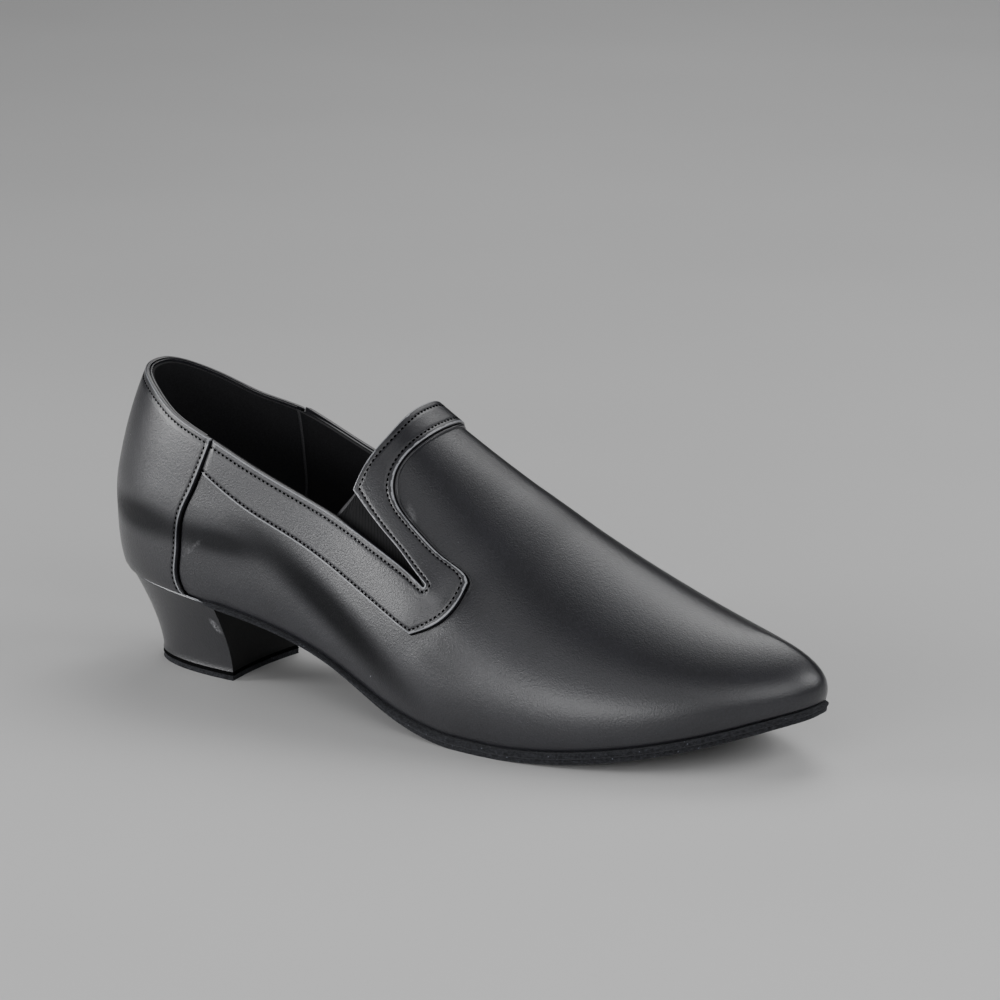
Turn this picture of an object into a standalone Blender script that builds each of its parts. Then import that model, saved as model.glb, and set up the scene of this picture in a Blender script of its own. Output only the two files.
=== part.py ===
"""Ballroom dance shoe, right foot: a slip-on with a Cuban heel, in metres.

The toe points along +X, the lateral side faces -Y and +Z is up. The origin is the centre of the
heel's ground face. The upper's outer skin is one function of two parameters, and every other
piece of the upper is cut from a shell that runs beside that skin.
"""
import math

import bmesh
import bpy
import numpy as np

# Sizes
LAST_LENGTH = 0.280         # feather line, from the back of the seat to the tip of the toe
SEAT_BACK = 0.034           # the feather line's back point, behind the heel's ground centre
BALL_WIDTH = 0.0915         # feather line, across the ball
INSTEP_RISE = 0.096         # skin at the throat, above the feather line
HEEL_HEIGHT = 0.0345        # feather line at the back, above the floor
TOE_SPRING = 0.0180         # feather line at the toe tip, above the feather line at the ball
UPPER_WALL = 0.0020         # vamp or quarter with its lining
OVERLAY_WALL = 0.0012       # counter and band, laid on the upper
GORE_WALL = 0.0012          # elastic
GAP = 0.0003                # clearance between two pieces that meet
SOLE_THICKNESS = 0.0040     # outsole at the ball
SOLE_EDGE = 0.0010          # outsole's edge, outside the feather line
SOLE_POCKET = 0.0016        # outsole's edge at the seat, inside the feather line
INSOLE_THICKNESS = 0.0025
LIFT_THICKNESS = 0.0030     # top piece under the heel
HEEL_FOOT_LENGTH = 0.0430   # ground face of the heel
HEEL_FOOT_WIDTH = 0.0410
BREAST_TOP = 0.0190         # heel's front face at its top, ahead of the origin
BREAST_HOLLOW = 0.0020      # how far that face is curved in
HEEL_CURVE = 1.55           # power by which the heel flares from its foot to its top

# One row for each section. station is a share of LAST_LENGTH. lateral, medial and ridge are
# shares of BALL_WIDTH: the feather line's two sides and the ridge's place to the medial side.
# rise is the ridge above the feather line, a share of INSTEP_RISE. heel and toe are the feather
# line's own climb, shares of HEEL_HEIGHT and TOE_SPRING. wall and shoulder shape the section's
# curve, swell is how far it bellies out, a share of BALL_WIDTH, and sole is the outsole's
# thickness, a share of SOLE_THICKNESS.
COLUMNS = ("station", "lateral", "medial", "ridge", "rise", "heel", "toe",
           "wall", "shoulder", "swell", "sole")
SECTIONS = (
    (0.00, 0.000, 0.000, 0.000, 1.19, 1.00, 0.00, 1.15, 1.00, 0.055, 0.40),
    (0.03, 0.180, 0.180, 0.000, 1.19, 0.99, 0.00, 1.10, 1.00, 0.050, 0.40),
    (0.08, 0.268, 0.268, 0.000, 1.19, 0.97, 0.00, 0.95, 1.00, 0.040, 0.40),
    (0.17, 0.322, 0.322, 0.000, 1.18, 0.90, 0.00, 0.70, 1.00, 0.030, 0.40),
    (0.27, 0.328, 0.306, 0.000, 1.11, 0.76, 0.00, 0.60, 1.00, 0.030, 0.40),
    (0.38, 0.350, 0.279, 0.011, 1.03, 0.47, 0.00, 0.66, 1.00, 0.040, 0.42),
    (0.48, 0.420, 0.311, 0.027, 0.95, 0.14, 0.00, 0.76, 0.97, 0.045, 0.70),
    (0.58, 0.486, 0.404, 0.049, 0.82, 0.00, 0.00, 0.92, 0.95, 0.040, 1.00),
    (0.66, 0.503, 0.475, 0.066, 0.69, 0.00, 0.00, 1.02, 0.93, 0.032, 1.00),
    (0.74, 0.475, 0.492, 0.077, 0.56, 0.00, 0.09, 1.08, 0.90, 0.026, 1.00),
    (0.82, 0.399, 0.454, 0.082, 0.43, 0.00, 0.27, 1.06, 0.88, 0.022, 1.00),
    (0.90, 0.268, 0.361, 0.087, 0.31, 0.00, 0.54, 1.00, 0.86, 0.018, 0.95),
    (0.96, 0.120, 0.246, 0.087, 0.235, 0.00, 0.81, 0.92, 0.86, 0.015, 0.90),
    (1.00, -0.087, 0.087, 0.087, 0.19, 0.00, 1.00, 0.80, 0.86, 0.012, 0.85),
)

# How the sections fan round the two ends: the ridge's stations lie inside the feather line's.
HEEL_FAN = 0.18
HEEL_FAN_END = 0.26
TOE_FAN = 0.09
TOE_FAN_START = 0.74
SWELL_PEAK = 0.2            # parameter t at which a section bellies out most
NUDGE = 0.001               # step in station by which the ridge's slope is read

# Outlines in the side view. Each point is a station and a height over the feather line there,
# a share of INSTEP_RISE.
TOPLINE = ((-0.05, 0.785), (0.04, 0.775), (0.085, 0.735), (0.13, 0.675), (0.19, 0.630),
           (0.27, 0.577), (0.34, 0.560), (0.40, 0.562), (0.46, 0.558), (0.50, 0.541),
           (0.534, 0.506))
NOTCH = ((0.537, 0.514), (0.513, 0.552), (0.487, 0.593), (0.454, 0.629), (0.409, 0.683))
THROAT = ((0.409, 0.683), (0.422, 0.815), (0.435, 0.900), (0.443, 0.980), (0.446, 1.100))
BAND_LOWER = ((0.150, 0.540), (0.205, 0.464), (0.267, 0.408), (0.333, 0.388), (0.402, 0.376),
              (0.474, 0.362), (0.526, 0.333))
BAND_FRONT = ((0.526, 0.333), (0.565, 0.404), (0.585, 0.478), (0.591, 0.545))
BAND_UPPER = ((0.591, 0.545), (0.585, 0.568), (0.552, 0.610), (0.513, 0.663), (0.474, 0.723),
              (0.461, 0.785), (0.463, 0.850), (0.472, 0.910), (0.482, 0.960), (0.488, 1.100))
COUNTER_SEAM = ((0.193, 0.700), (0.188, 0.630), (0.175, 0.518), (0.159, 0.404), (0.147, 0.328),
                (0.139, 0.239), (0.135, 0.148), (0.133, 0.046), (0.145, -0.020))
MEDIAL_DIP = 0.0034         # how far the medial topline hangs lower between the two stations
MEDIAL_DIP_SPAN = (0.03, 0.19)
GORE = ((0.385, 0.500), (0.392, 0.556), (0.419, 0.668), (0.430, 0.730), (0.480, 0.670),
        (0.545, 0.590), (0.565, 0.500), (0.530, 0.445), (0.460, 0.490))

# The outsole's side, from the bottom up: share of its thickness, and share of SOLE_EDGE that
# the side stands out.
SOLE_SIDE = ((0.00, 0.30), (0.42, 0.55), (0.50, 1.00), (0.80, 1.00), (1.00, 0.40))
SOLE_FLARE = (0.15, 0.20)   # stations between which the outsole leaves the heel's pocket

TOP = HEEL_HEIGHT + 1.5 * INSTEP_RISE   # over everything, where the side-view cutters end

STATION_STEPS = 44          # facets from heel to toe
SECTION_STEPS = 14          # facets from the feather line to the ridge
OUTLINE_STEPS = 10          # facets along one smooth stretch of a side-view outline
HEEL_LEVELS = 5             # rings of facets up the heel
BREAST_STEPS = 8            # facets across the heel's front face


def spline(xs, ys, x):
    """Natural cubic spline through the points."""
    xs = np.asarray(xs, float)
    ys = np.asarray(ys, float)
    x = np.asarray(x, float)
    count = len(xs)
    step = np.diff(xs)
    matrix = np.eye(count)
    right = np.zeros(count)
    for i in range(1, count - 1):
        matrix[i, i - 1:i + 2] = step[i - 1], 2 * (step[i - 1] + step[i]), step[i]
        right[i] = 6 * ((ys[i + 1] - ys[i]) / step[i] - (ys[i] - ys[i - 1]) / step[i - 1])
    bend = np.linalg.solve(matrix, right)
    k = np.clip(np.searchsorted(xs, x) - 1, 0, count - 2)
    after = xs[k + 1] - x
    before = x - xs[k]
    span = step[k]
    cubic = (bend[k] * after ** 3 + bend[k + 1] * before ** 3) / (6 * span)
    low = (ys[k] / span - bend[k] * span / 6) * after
    high = (ys[k + 1] / span - bend[k + 1] * span / 6) * before
    return cubic + low + high


def turn(station):
    """Parameter round the outline, 0 at the heel and 1 at the toe, which spreads both ends."""
    return np.arccos(np.clip(1 - 2 * np.asarray(station, float), -1, 1)) / math.pi


def column(name, u):
    """A column of the section table, read as a smooth curve over the outline's parameter."""
    place = COLUMNS.index(name)
    return spline([turn(row[0]) for row in SECTIONS], [row[place] for row in SECTIONS], u)


def ridge_station(station):
    """Station of the ridge's point that belongs to a station of the feather line."""
    station = np.asarray(station, float)
    back = HEEL_FAN * np.clip(1 - station / HEEL_FAN_END, 0, None) ** 2
    front = TOE_FAN * np.clip((station - TOE_FAN_START) / (1 - TOE_FAN_START), 0, None) ** 2
    return station + back - front


def feather_height(u):
    """Height of the feather line, flat where it runs over the tread."""
    climb = (HEEL_HEIGHT - SOLE_THICKNESS - GAP) * np.clip(column("heel", u), 0, None)
    spring = TOE_SPRING * np.clip(column("toe", u), 0, None)
    return SOLE_THICKNESS + GAP + climb + spring


def ridge_height(station):
    """Height of the ridge over a station."""
    u = turn(station)
    return feather_height(u) + INSTEP_RISE * column("rise", u)


def skin(u, t, side):
    """Point of the outer skin: t is 0 at the feather line and 1 on the ridge; side is -1 lateral."""
    u, t = np.broadcast_arrays(np.asarray(u, float), np.asarray(t, float))
    station = (1 - np.cos(math.pi * u)) / 2
    over = ridge_station(station)
    ridge_u = turn(over)
    foot_x = LAST_LENGTH * station - SEAT_BACK
    foot_y = BALL_WIDTH * np.where(side < 0, -column("lateral", u), column("medial", u))
    foot_z = feather_height(u)
    top_x = LAST_LENGTH * over - SEAT_BACK
    top_y = BALL_WIDTH * column("ridge", ridge_u)
    top_z = ridge_height(over)
    slope = (ridge_height(over + NUDGE) - ridge_height(over - NUDGE)) / (2 * NUDGE * LAST_LENGTH)
    inward = np.clip(np.cos(math.pi * t / 2), 0, None) ** column("wall", u)
    upward = np.clip(np.sin(math.pi * t / 2), 0, None) ** column("shoulder", u)
    fall = 1 / SWELL_PEAK - 1
    belly = t * (1 - t) ** fall / (SWELL_PEAK * (1 - SWELL_PEAK) ** fall)
    reach_x = foot_x - top_x
    reach_y = foot_y - top_y
    reach = np.hypot(reach_x, reach_y) + 1e-9
    out = inward + BALL_WIDTH * column("swell", u) * belly / reach
    level = foot_z + (top_z - foot_z) * upward + slope * reach_x * out * upward ** 2
    return np.stack([top_x + reach_x * out, top_y + reach_y * out, level], -1)


def height_at(x):
    """Height of the feather line over a place along the shoe."""
    return feather_height(turn((np.asarray(x, float) + SEAT_BACK) / LAST_LENGTH))


def smooth(points, steps=OUTLINE_STEPS):
    """A side-view outline's points, joined by a smooth curve and turned into x and z."""
    points = np.asarray(points, float)
    chords = np.hypot(*(points[1:] - points[:-1]).T)
    along = np.concatenate([[0.0], np.cumsum(chords)])
    places = np.linspace(0, along[-1], steps + 1)
    x = LAST_LENGTH * spline(along, points[:, 0], places) - SEAT_BACK
    z = height_at(x) + INSTEP_RISE * spline(along, points[:, 1], places)
    return [(float(a), float(b)) for a, b in zip(x, z)]


# Meshes and objects
def leather(name, colour, roughness):
    """A plain material of one colour."""
    material = bpy.data.materials.new(name)
    material.use_nodes = True
    shader = material.node_tree.nodes["Principled BSDF"]
    shader.inputs["Base Color"].default_value = (*colour, 1)
    shader.inputs["Roughness"].default_value = roughness
    shader.inputs["Metallic"].default_value = 0
    return material


def new_object(name, points, faces, material):
    """An object from points and faces, with its faces turned outward."""
    mesh = bpy.data.meshes.new(name)
    mesh.from_pydata([tuple(map(float, p)) for p in points], [], faces)
    work = bmesh.new()
    work.from_mesh(mesh)
    bmesh.ops.recalc_face_normals(work, faces=work.faces)
    if work.calc_volume(signed=True) < 0:
        bmesh.ops.reverse_faces(work, faces=work.faces)
    work.to_mesh(mesh)
    work.free()
    if material is not None:
        mesh.materials.append(material)
    shape = bpy.data.objects.new(name, mesh)
    bpy.context.collection.objects.link(shape)
    return shape


def shade(shape):
    """Smooth shading, with edges over 35 degrees kept sharp."""
    shape.data.shade_smooth()
    shape.data.set_sharp_from_angle(angle=math.radians(35))


def skin_sheet():
    """Points and faces of the outer skin: one ring of points for each row, ridge points shared."""
    u = np.linspace(0, 1, STATION_STEPS + 1)
    points = []
    place = {}
    for j in range(SECTION_STEPS + 1):
        t = j / SECTION_STEPS
        for side in (-1, 1):
            row = skin(u, t, side)
            for i in range(STATION_STEPS + 1):
                shared = side > 0 and (i in (0, STATION_STEPS) or j == SECTION_STEPS)
                if shared:
                    place[side, i, j] = place[-1, i, j]
                    continue
                place[side, i, j] = len(points)
                points.append(row[i])
    faces = []
    for side in (-1, 1):
        for j in range(SECTION_STEPS):
            for i in range(STATION_STEPS):
                face = [place[side, i, j], place[side, i + 1, j],
                        place[side, i + 1, j + 1], place[side, i, j + 1]]
                faces.append(face if side < 0 else face[::-1])
    rim = [place[-1, i, 0] for i in range(STATION_STEPS + 1)]
    rim += [place[1, i, 0] for i in range(STATION_STEPS - 1, 0, -1)]
    return np.array(points), faces, rim


def outward(points, faces):
    """Unit normal at each point, the mean of the faces round it."""
    total = np.zeros_like(points)
    for face in faces:
        a, b, c, d = (points[k] for k in face)
        total[face] += np.cross(c - a, d - b)
    return total / np.linalg.norm(total, axis=1)[:, None]


def shell(name, inner, outer, material):
    """The closed wall between two offsets from the outer skin, open underneath."""
    points, faces, rim = skin_sheet()
    normals = outward(points, faces)
    flat = normals[rim] * (1, 1, 0)
    normals[rim] = flat / np.linalg.norm(flat, axis=1)[:, None]
    count = len(points)
    outside = points + normals * outer
    inside = points + normals * inner
    walls = [list(face) for face in faces]
    walls += [[k + count for k in reversed(face)] for face in faces]
    for k, here in enumerate(rim):
        there = rim[(k + 1) % len(rim)]
        walls.append([there, here, here + count, there + count])
    return new_object(name, np.concatenate([outside, inside]), walls, material)


def prism(name, outline, low, high):
    """A cutter: a side-view outline drawn out across the shoe, never shown."""
    count = len(outline)
    points = [(x, low, z) for x, z in outline] + [(x, high, z) for x, z in outline]
    faces = [list(range(count)), list(range(2 * count - 1, count - 1, -1))]
    for k in range(count):
        n = (k + 1) % count
        faces.append([n, k, k + count, n + count])
    cutter = new_object(name, points, faces, None)
    cutter.hide_render = True
    cutter.display_type = "WIRE"
    return cutter


def cut(shape, cutter, operation):
    """Adds an exact Boolean to the shape."""
    modifier = shape.modifiers.new(cutter.name, "BOOLEAN")
    modifier.operation = operation
    modifier.solver = "EXACT"
    modifier.object = cutter


def feather_ring(offset, steps=STATION_STEPS):
    """The feather line seen from above, moved outward by the offset that u gives."""
    u = np.linspace(0, 1, steps + 1)
    base = [skin(u, 0, -1), skin(u, 0, 1)[-2:0:-1]]
    ring = np.concatenate(base)
    flow = np.roll(ring, -1, 0) - np.roll(ring, 1, 0)
    normal = np.stack([flow[:, 1], -flow[:, 0]], -1)
    normal /= np.linalg.norm(normal, axis=1)[:, None]
    amount = np.concatenate([offset(u), offset(u)[-2:0:-1]])
    return ring[:, :2] + normal * amount[:, None]


def loft(name, rings, cap, material):
    """A closed body from rings of points, bottom to top, with the same cap at both ends."""
    count = len(rings[0])
    faces = []
    for level in range(len(rings) - 1):
        low = level * count
        for k in range(count):
            n = (k + 1) % count
            faces.append([low + k, low + n, low + n + count, low + k + count])
    top = (len(rings) - 1) * count
    for face in cap:
        faces.append([k for k in reversed(face)])
        faces.append([k + top for k in face])
    return new_object(name, np.concatenate(rings), faces, material)


def strips(first, last, count):
    """Cap faces that join ring point k to its partner across the shoe, count - k."""
    faces = []
    for k in range(first, last):
        face = [k, k + 1, (count - k - 1) % count, (count - k) % count]
        faces.append(list(dict.fromkeys(face)))
    return faces


def shoe_ring(offset, lift, spread=0.0):
    """A ring over the feather line: offset outward and height above it, both by station."""
    xy = feather_ring(lambda u: offset(u) + spread)
    u = turn((xy[:, 0] + SEAT_BACK) / LAST_LENGTH)
    return np.column_stack([xy, feather_height(u) + lift(u)])


def sole_edge(u, proud):
    """How far the outsole's edge lies outside the feather line, inside it at the seat."""
    station = (1 - np.cos(math.pi * u)) / 2
    share = np.clip((station - SOLE_FLARE[0]) / (SOLE_FLARE[1] - SOLE_FLARE[0]), 0, 1)
    flare = share * share * (3 - 2 * share)
    return flare * (SOLE_EDGE * proud + SOLE_POCKET) - SOLE_POCKET


def sole_drop(u, share):
    """Depth under the feather line of a level in the outsole, held at the floor."""
    thickness = SOLE_THICKNESS * np.clip(column("sole", u), 0, 1)
    floor = feather_height(u) - GAP
    return -GAP - np.minimum(thickness, floor) * (1 - share)


def heel_ring(level):
    """A ring round the heel: level is 0 at its foot and 1 under the upper."""
    breast_u = turn((BREAST_TOP + SEAT_BACK) / LAST_LENGTH)
    u = np.linspace(0, breast_u, STATION_STEPS // 2 + 1)
    lateral = skin(u, 0, -1)[::-1, :2]
    medial = skin(u, 0, 1)[1:, :2]
    middle_y = (lateral[0, 1] + medial[-1, 1]) / 2
    half = (medial[-1, 1] - lateral[0, 1]) / 2
    across = np.linspace(medial[-1, 1], lateral[0, 1], BREAST_STEPS + 1)[1:-1]
    hollow = BREAST_HOLLOW * (1 - ((across - middle_y) / half) ** 2)
    breast = np.column_stack([BREAST_TOP - hollow, across])
    ring = np.concatenate([lateral, medial, breast])
    length = BREAST_TOP + SEAT_BACK
    foot_x = (ring[:, 0] - (BREAST_TOP - SEAT_BACK) / 2) * HEEL_FOOT_LENGTH / length
    foot_y = (ring[:, 1] - middle_y) * HEEL_FOOT_WIDTH / (2 * half)
    blend = level ** HEEL_CURVE
    x = foot_x + (ring[:, 0] - foot_x) * blend
    y = foot_y + (ring[:, 1] - foot_y) * blend
    low = LIFT_THICKNESS + GAP
    return np.column_stack([x, y, low + (height_at(x) - GAP - low) * level])


# Pieces
def opening_outline():
    """What the collar, the notches and the throat leave open, up past the top."""
    edge = smooth(TOPLINE, 2 * OUTLINE_STEPS) + smooth(NOTCH) + smooth(THROAT)[1:]
    return edge + [(edge[-1][0], TOP), (edge[0][0], TOP)]


def dip_outline():
    """The hollow by which the medial topline hangs lower, from just over the topline."""
    edge = np.array(smooth(TOPLINE, 2 * OUTLINE_STEPS))
    low, high = (LAST_LENGTH * station - SEAT_BACK for station in MEDIAL_DIP_SPAN)
    share = np.linspace(0, 1, 2 * OUTLINE_STEPS + 1)
    x = low + (high - low) * share
    z = np.interp(x, edge[:, 0], edge[:, 1]) + GAP
    z -= (MEDIAL_DIP + GAP) * np.sin(math.pi * share) ** 2
    return [(float(a), float(b)) for a, b in zip(x, z)] + [(high, TOP), (low, TOP)]


def make_openings():
    """The opening's two cutters: right across the shoe, and the medial side's dip."""
    whole = prism("cut_opening", opening_outline(), -BALL_WIDTH, BALL_WIDTH)
    medial = prism("cut_dip", dip_outline(), SOLE_EDGE, BALL_WIDTH)
    return whole, medial


def counter_outline(ahead):
    """The counter in the side view: all that lies behind its seam, or a little ahead of it."""
    seam = [(x + ahead, z) for x, z in smooth(COUNTER_SEAM)]
    behind = LAST_LENGTH * TOPLINE[0][0] - SEAT_BACK
    return seam + [(behind, seam[-1][1]), (behind, TOP), (seam[0][0], TOP)]


def band_outline():
    """The band in the side view: all that lies over its inner edge."""
    inner = smooth(BAND_LOWER) + smooth(BAND_FRONT)[1:] + smooth(BAND_UPPER)[1:]
    return inner + [(inner[-1][0], TOP), (inner[0][0], TOP)]


def make_upper(black, openings):
    """Vamp and quarters as one hollow wall, open at the top and underneath."""
    upper = shell("upper", -UPPER_WALL, 0, black)
    for cutter in openings:
        cut(upper, cutter, "DIFFERENCE")
    shade(upper)
    return upper


def make_counter(black, openings):
    """The counter that wraps the back of the quarters."""
    counter = shell("heel_counter", GAP, GAP + OVERLAY_WALL, black)
    for cutter in openings:
        cut(counter, cutter, "DIFFERENCE")
    cut(counter, prism("cut_counter", counter_outline(0), -BALL_WIDTH, BALL_WIDTH), "INTERSECT")
    shade(counter)
    return counter


def make_band(black, openings):
    """The band along the topline, round the notches and over the instep."""
    band = shell("topline_band", GAP, GAP + OVERLAY_WALL, black)
    for cutter in openings:
        cut(band, cutter, "DIFFERENCE")
    cut(band, prism("cut_band", band_outline(), -BALL_WIDTH, BALL_WIDTH), "INTERSECT")
    end = prism("cut_band_end", counter_outline(GAP), -BALL_WIDTH, BALL_WIDTH)
    cut(band, end, "DIFFERENCE")
    shade(band)
    return band


def make_gore(name, side, elastic):
    """Elastic behind one notch."""
    outer = -UPPER_WALL - GAP
    gore = shell(name, outer - GORE_WALL, outer, elastic)
    outline = [(LAST_LENGTH * station - SEAT_BACK,
                float(height_at(LAST_LENGTH * station - SEAT_BACK)) + INSTEP_RISE * height)
               for station, height in GORE]
    low, high = (-BALL_WIDTH, 0) if side < 0 else (0, BALL_WIDTH)
    cut(gore, prism("cut_" + name, outline, low, high), "INTERSECT")
    shade(gore)
    return gore


def make_insole(lining):
    """Insole on the outsole, inside the upper's wall."""
    def inset(u):
        return np.full_like(u, -UPPER_WALL - GAP)

    rings = [shoe_ring(inset, lambda u, h=h: np.full_like(u, h)) for h in (0, INSOLE_THICKNESS)]
    insole = loft("insole", rings, strips(0, STATION_STEPS, len(rings[0])), lining)
    shade(insole)
    return insole


def make_outsole(suede):
    """Outsole from heel to toe, let into the heel at the seat."""
    rings = [shoe_ring(lambda u: sole_edge(u, proud), lambda u: sole_drop(u, share))
             for share, proud in SOLE_SIDE]
    outsole = loft("outsole", rings, strips(0, STATION_STEPS, len(rings[0])), suede)
    shade(outsole)
    return outsole


def make_heel(black):
    """Covered heel, with the pocket that takes the outsole's seat."""
    rings = [heel_ring(k / HEEL_LEVELS) for k in range(HEEL_LEVELS + 1)]
    side = STATION_STEPS // 2
    cap = [[0, 1] + list(range(2 * side - 1, len(rings[0])))]
    cap += [[k, k + 1, 2 * side - k - 1, 2 * side - k] for k in range(1, side - 1)]
    cap.append([side - 1, side, side + 1])
    heel = loft("heel", rings, cap, black)
    cut(heel, make_pocket(), "DIFFERENCE")
    shade(heel)
    return heel


def make_pocket():
    """A cutter: the rear half of the outsole, grown by the gap and drawn up through the heel."""
    half = STATION_STEPS // 2
    drops = (lambda u: sole_drop(u, 0) - GAP, lambda u: np.full_like(u, SOLE_THICKNESS))
    walls = [shoe_ring(lambda u: sole_edge(u, 1.0), drop, GAP) for drop in drops]
    walls = [np.concatenate([ring[:half + 1], ring[-half:]]) for ring in walls]
    pocket = loft("cut_pocket", walls, strips(0, half, len(walls[0])), None)
    pocket.hide_render = True
    pocket.display_type = "WIRE"
    return pocket


def make_lift(suede):
    """Top piece under the heel, flat on the floor."""
    foot = heel_ring(0)
    rings = [np.column_stack([foot[:, :2], np.full(len(foot), z)]) for z in (0, LIFT_THICKNESS)]
    lift = loft("heel_lift", rings, [list(range(len(foot)))], suede)
    shade(lift)
    return lift


def main():
    """Clears the scene and builds the shoe."""
    for shape in list(bpy.data.objects):
        bpy.data.objects.remove(shape, do_unlink=True)
    black = leather("black_leather", (0.018, 0.018, 0.021), 0.42)
    suede = leather("black_suede", (0.020, 0.020, 0.022), 0.95)
    elastic = leather("black_elastic", (0.012, 0.012, 0.013), 0.85)
    lining = leather("black_lining", (0.010, 0.010, 0.011), 0.75)
    openings = make_openings()
    make_upper(black, openings)
    make_counter(black, openings)
    make_band(black, openings)
    make_gore("gore_lateral", -1, elastic)
    make_gore("gore_medial", 1, elastic)
    make_insole(lining)
    make_outsole(suede)
    make_heel(black)
    make_lift(suede)


main()
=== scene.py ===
"""Looks of the ballroom dance shoe: leather, folded edges, stitches, elastic, suede and light.

Every leather piece lies on the same last as the solids. A place on it is (u, t, side): u runs from
the back of the heel to the toe, t from the feather line to the ridge, and side is -1 lateral.
"""

import math

import bmesh
import bpy
import numpy as np
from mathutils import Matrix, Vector


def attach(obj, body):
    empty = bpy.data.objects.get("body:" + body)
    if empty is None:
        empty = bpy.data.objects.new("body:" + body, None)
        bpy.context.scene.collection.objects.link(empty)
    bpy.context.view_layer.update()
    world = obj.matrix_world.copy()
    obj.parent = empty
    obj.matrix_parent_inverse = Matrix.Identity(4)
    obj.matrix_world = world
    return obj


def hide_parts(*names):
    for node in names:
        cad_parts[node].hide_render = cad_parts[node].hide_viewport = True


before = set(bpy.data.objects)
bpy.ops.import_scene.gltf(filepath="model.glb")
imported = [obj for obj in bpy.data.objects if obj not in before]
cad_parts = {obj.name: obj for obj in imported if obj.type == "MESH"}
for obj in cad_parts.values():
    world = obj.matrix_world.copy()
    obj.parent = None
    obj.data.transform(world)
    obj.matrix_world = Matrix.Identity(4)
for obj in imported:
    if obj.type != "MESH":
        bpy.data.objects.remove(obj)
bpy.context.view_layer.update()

# Sizes of the last and its pieces, in metres
LAST_LENGTH = 0.280
SEAT_BACK = 0.034
BALL_WIDTH = 0.0915
INSTEP_RISE = 0.096
HEEL_HEIGHT = 0.0345
TOE_SPRING = 0.0180
UPPER_WALL = 0.0020
OVERLAY_WALL = 0.0012
GORE_WALL = 0.0012
GAP = 0.0003
SOLE_THICKNESS = 0.0040
SOLE_EDGE = 0.0010
SOLE_POCKET = 0.0016
LIFT_THICKNESS = 0.0030
HEEL_FOOT_LENGTH = 0.0430
HEEL_FOOT_WIDTH = 0.0410
BREAST_TOP = 0.0190
BREAST_HOLLOW = 0.0020
HEEL_CURVE = 1.55                   # exponent of the heel's widening towards its top

# The last's sections, with lengths as shares of the sizes above
COLUMNS = ("station", "lateral", "medial", "ridge", "rise", "heel", "toe",
           "wall", "shoulder", "swell", "sole")
SECTIONS = (
    (0.00, 0.000, 0.000, 0.000, 1.19, 1.00, 0.00, 1.15, 1.00, 0.055, 0.40),
    (0.03, 0.180, 0.180, 0.000, 1.19, 0.99, 0.00, 1.10, 1.00, 0.050, 0.40),
    (0.08, 0.268, 0.268, 0.000, 1.19, 0.97, 0.00, 0.95, 1.00, 0.040, 0.40),
    (0.17, 0.322, 0.322, 0.000, 1.18, 0.90, 0.00, 0.70, 1.00, 0.030, 0.40),
    (0.27, 0.328, 0.306, 0.000, 1.11, 0.76, 0.00, 0.60, 1.00, 0.030, 0.40),
    (0.38, 0.350, 0.279, 0.011, 1.03, 0.47, 0.00, 0.66, 1.00, 0.040, 0.42),
    (0.48, 0.420, 0.311, 0.027, 0.95, 0.14, 0.00, 0.76, 0.97, 0.045, 0.70),
    (0.58, 0.486, 0.404, 0.049, 0.82, 0.00, 0.00, 0.92, 0.95, 0.040, 1.00),
    (0.66, 0.503, 0.475, 0.066, 0.69, 0.00, 0.00, 1.02, 0.93, 0.032, 1.00),
    (0.74, 0.475, 0.492, 0.077, 0.56, 0.00, 0.09, 1.08, 0.90, 0.026, 1.00),
    (0.82, 0.399, 0.454, 0.082, 0.43, 0.00, 0.27, 1.06, 0.88, 0.022, 1.00),
    (0.90, 0.268, 0.361, 0.087, 0.31, 0.00, 0.54, 1.00, 0.86, 0.018, 0.95),
    (0.96, 0.120, 0.246, 0.087, 0.235, 0.00, 0.81, 0.92, 0.86, 0.015, 0.90),
    (1.00, -0.087, 0.087, 0.087, 0.19, 0.00, 1.00, 0.80, 0.86, 0.012, 0.85),
)

# The ridge runs ahead of the feather line at the heel and behind it at the toe, as shares
HEEL_FAN = 0.18
HEEL_FAN_END = 0.26
TOE_FAN = 0.09
TOE_FAN_START = 0.74
SWELL_PEAK = 0.2                    # t at which the sides swell most
NUDGE = 0.001                       # step in station for measuring a slope

# Outlines in the side view: station and height over the feather line, a share of INSTEP_RISE
TOPLINE = ((-0.05, 0.785), (0.04, 0.775), (0.085, 0.735), (0.13, 0.675), (0.19, 0.630),
           (0.27, 0.577), (0.34, 0.560), (0.40, 0.562), (0.46, 0.558), (0.50, 0.541),
           (0.534, 0.506))
NOTCH = ((0.537, 0.514), (0.513, 0.552), (0.487, 0.593), (0.454, 0.629), (0.409, 0.683))
THROAT = ((0.409, 0.683), (0.422, 0.815), (0.435, 0.900), (0.443, 0.980), (0.446, 1.100))
BAND_LOWER = ((0.150, 0.540), (0.205, 0.464), (0.267, 0.408), (0.333, 0.388), (0.402, 0.376),
              (0.474, 0.362), (0.526, 0.333))
BAND_FRONT = ((0.526, 0.333), (0.565, 0.404), (0.585, 0.478), (0.591, 0.545))
BAND_UPPER = ((0.591, 0.545), (0.585, 0.568), (0.552, 0.610), (0.513, 0.663), (0.474, 0.723),
              (0.461, 0.785), (0.463, 0.850), (0.472, 0.910), (0.482, 0.960), (0.488, 1.100))
BAND_TURN = (0.461, 0.785)          # where the band's inner edge turns up over the instep
COUNTER_SEAM = ((0.193, 0.700), (0.188, 0.630), (0.175, 0.518), (0.159, 0.404), (0.147, 0.328),
                (0.139, 0.239), (0.135, 0.148), (0.133, 0.046), (0.145, -0.020))
MEDIAL_LINING_SEAM = ((0.184, 0.700), (0.188, 0.600), (0.190, 0.450), (0.190, 0.300),
                      (0.188, -0.020))
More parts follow.
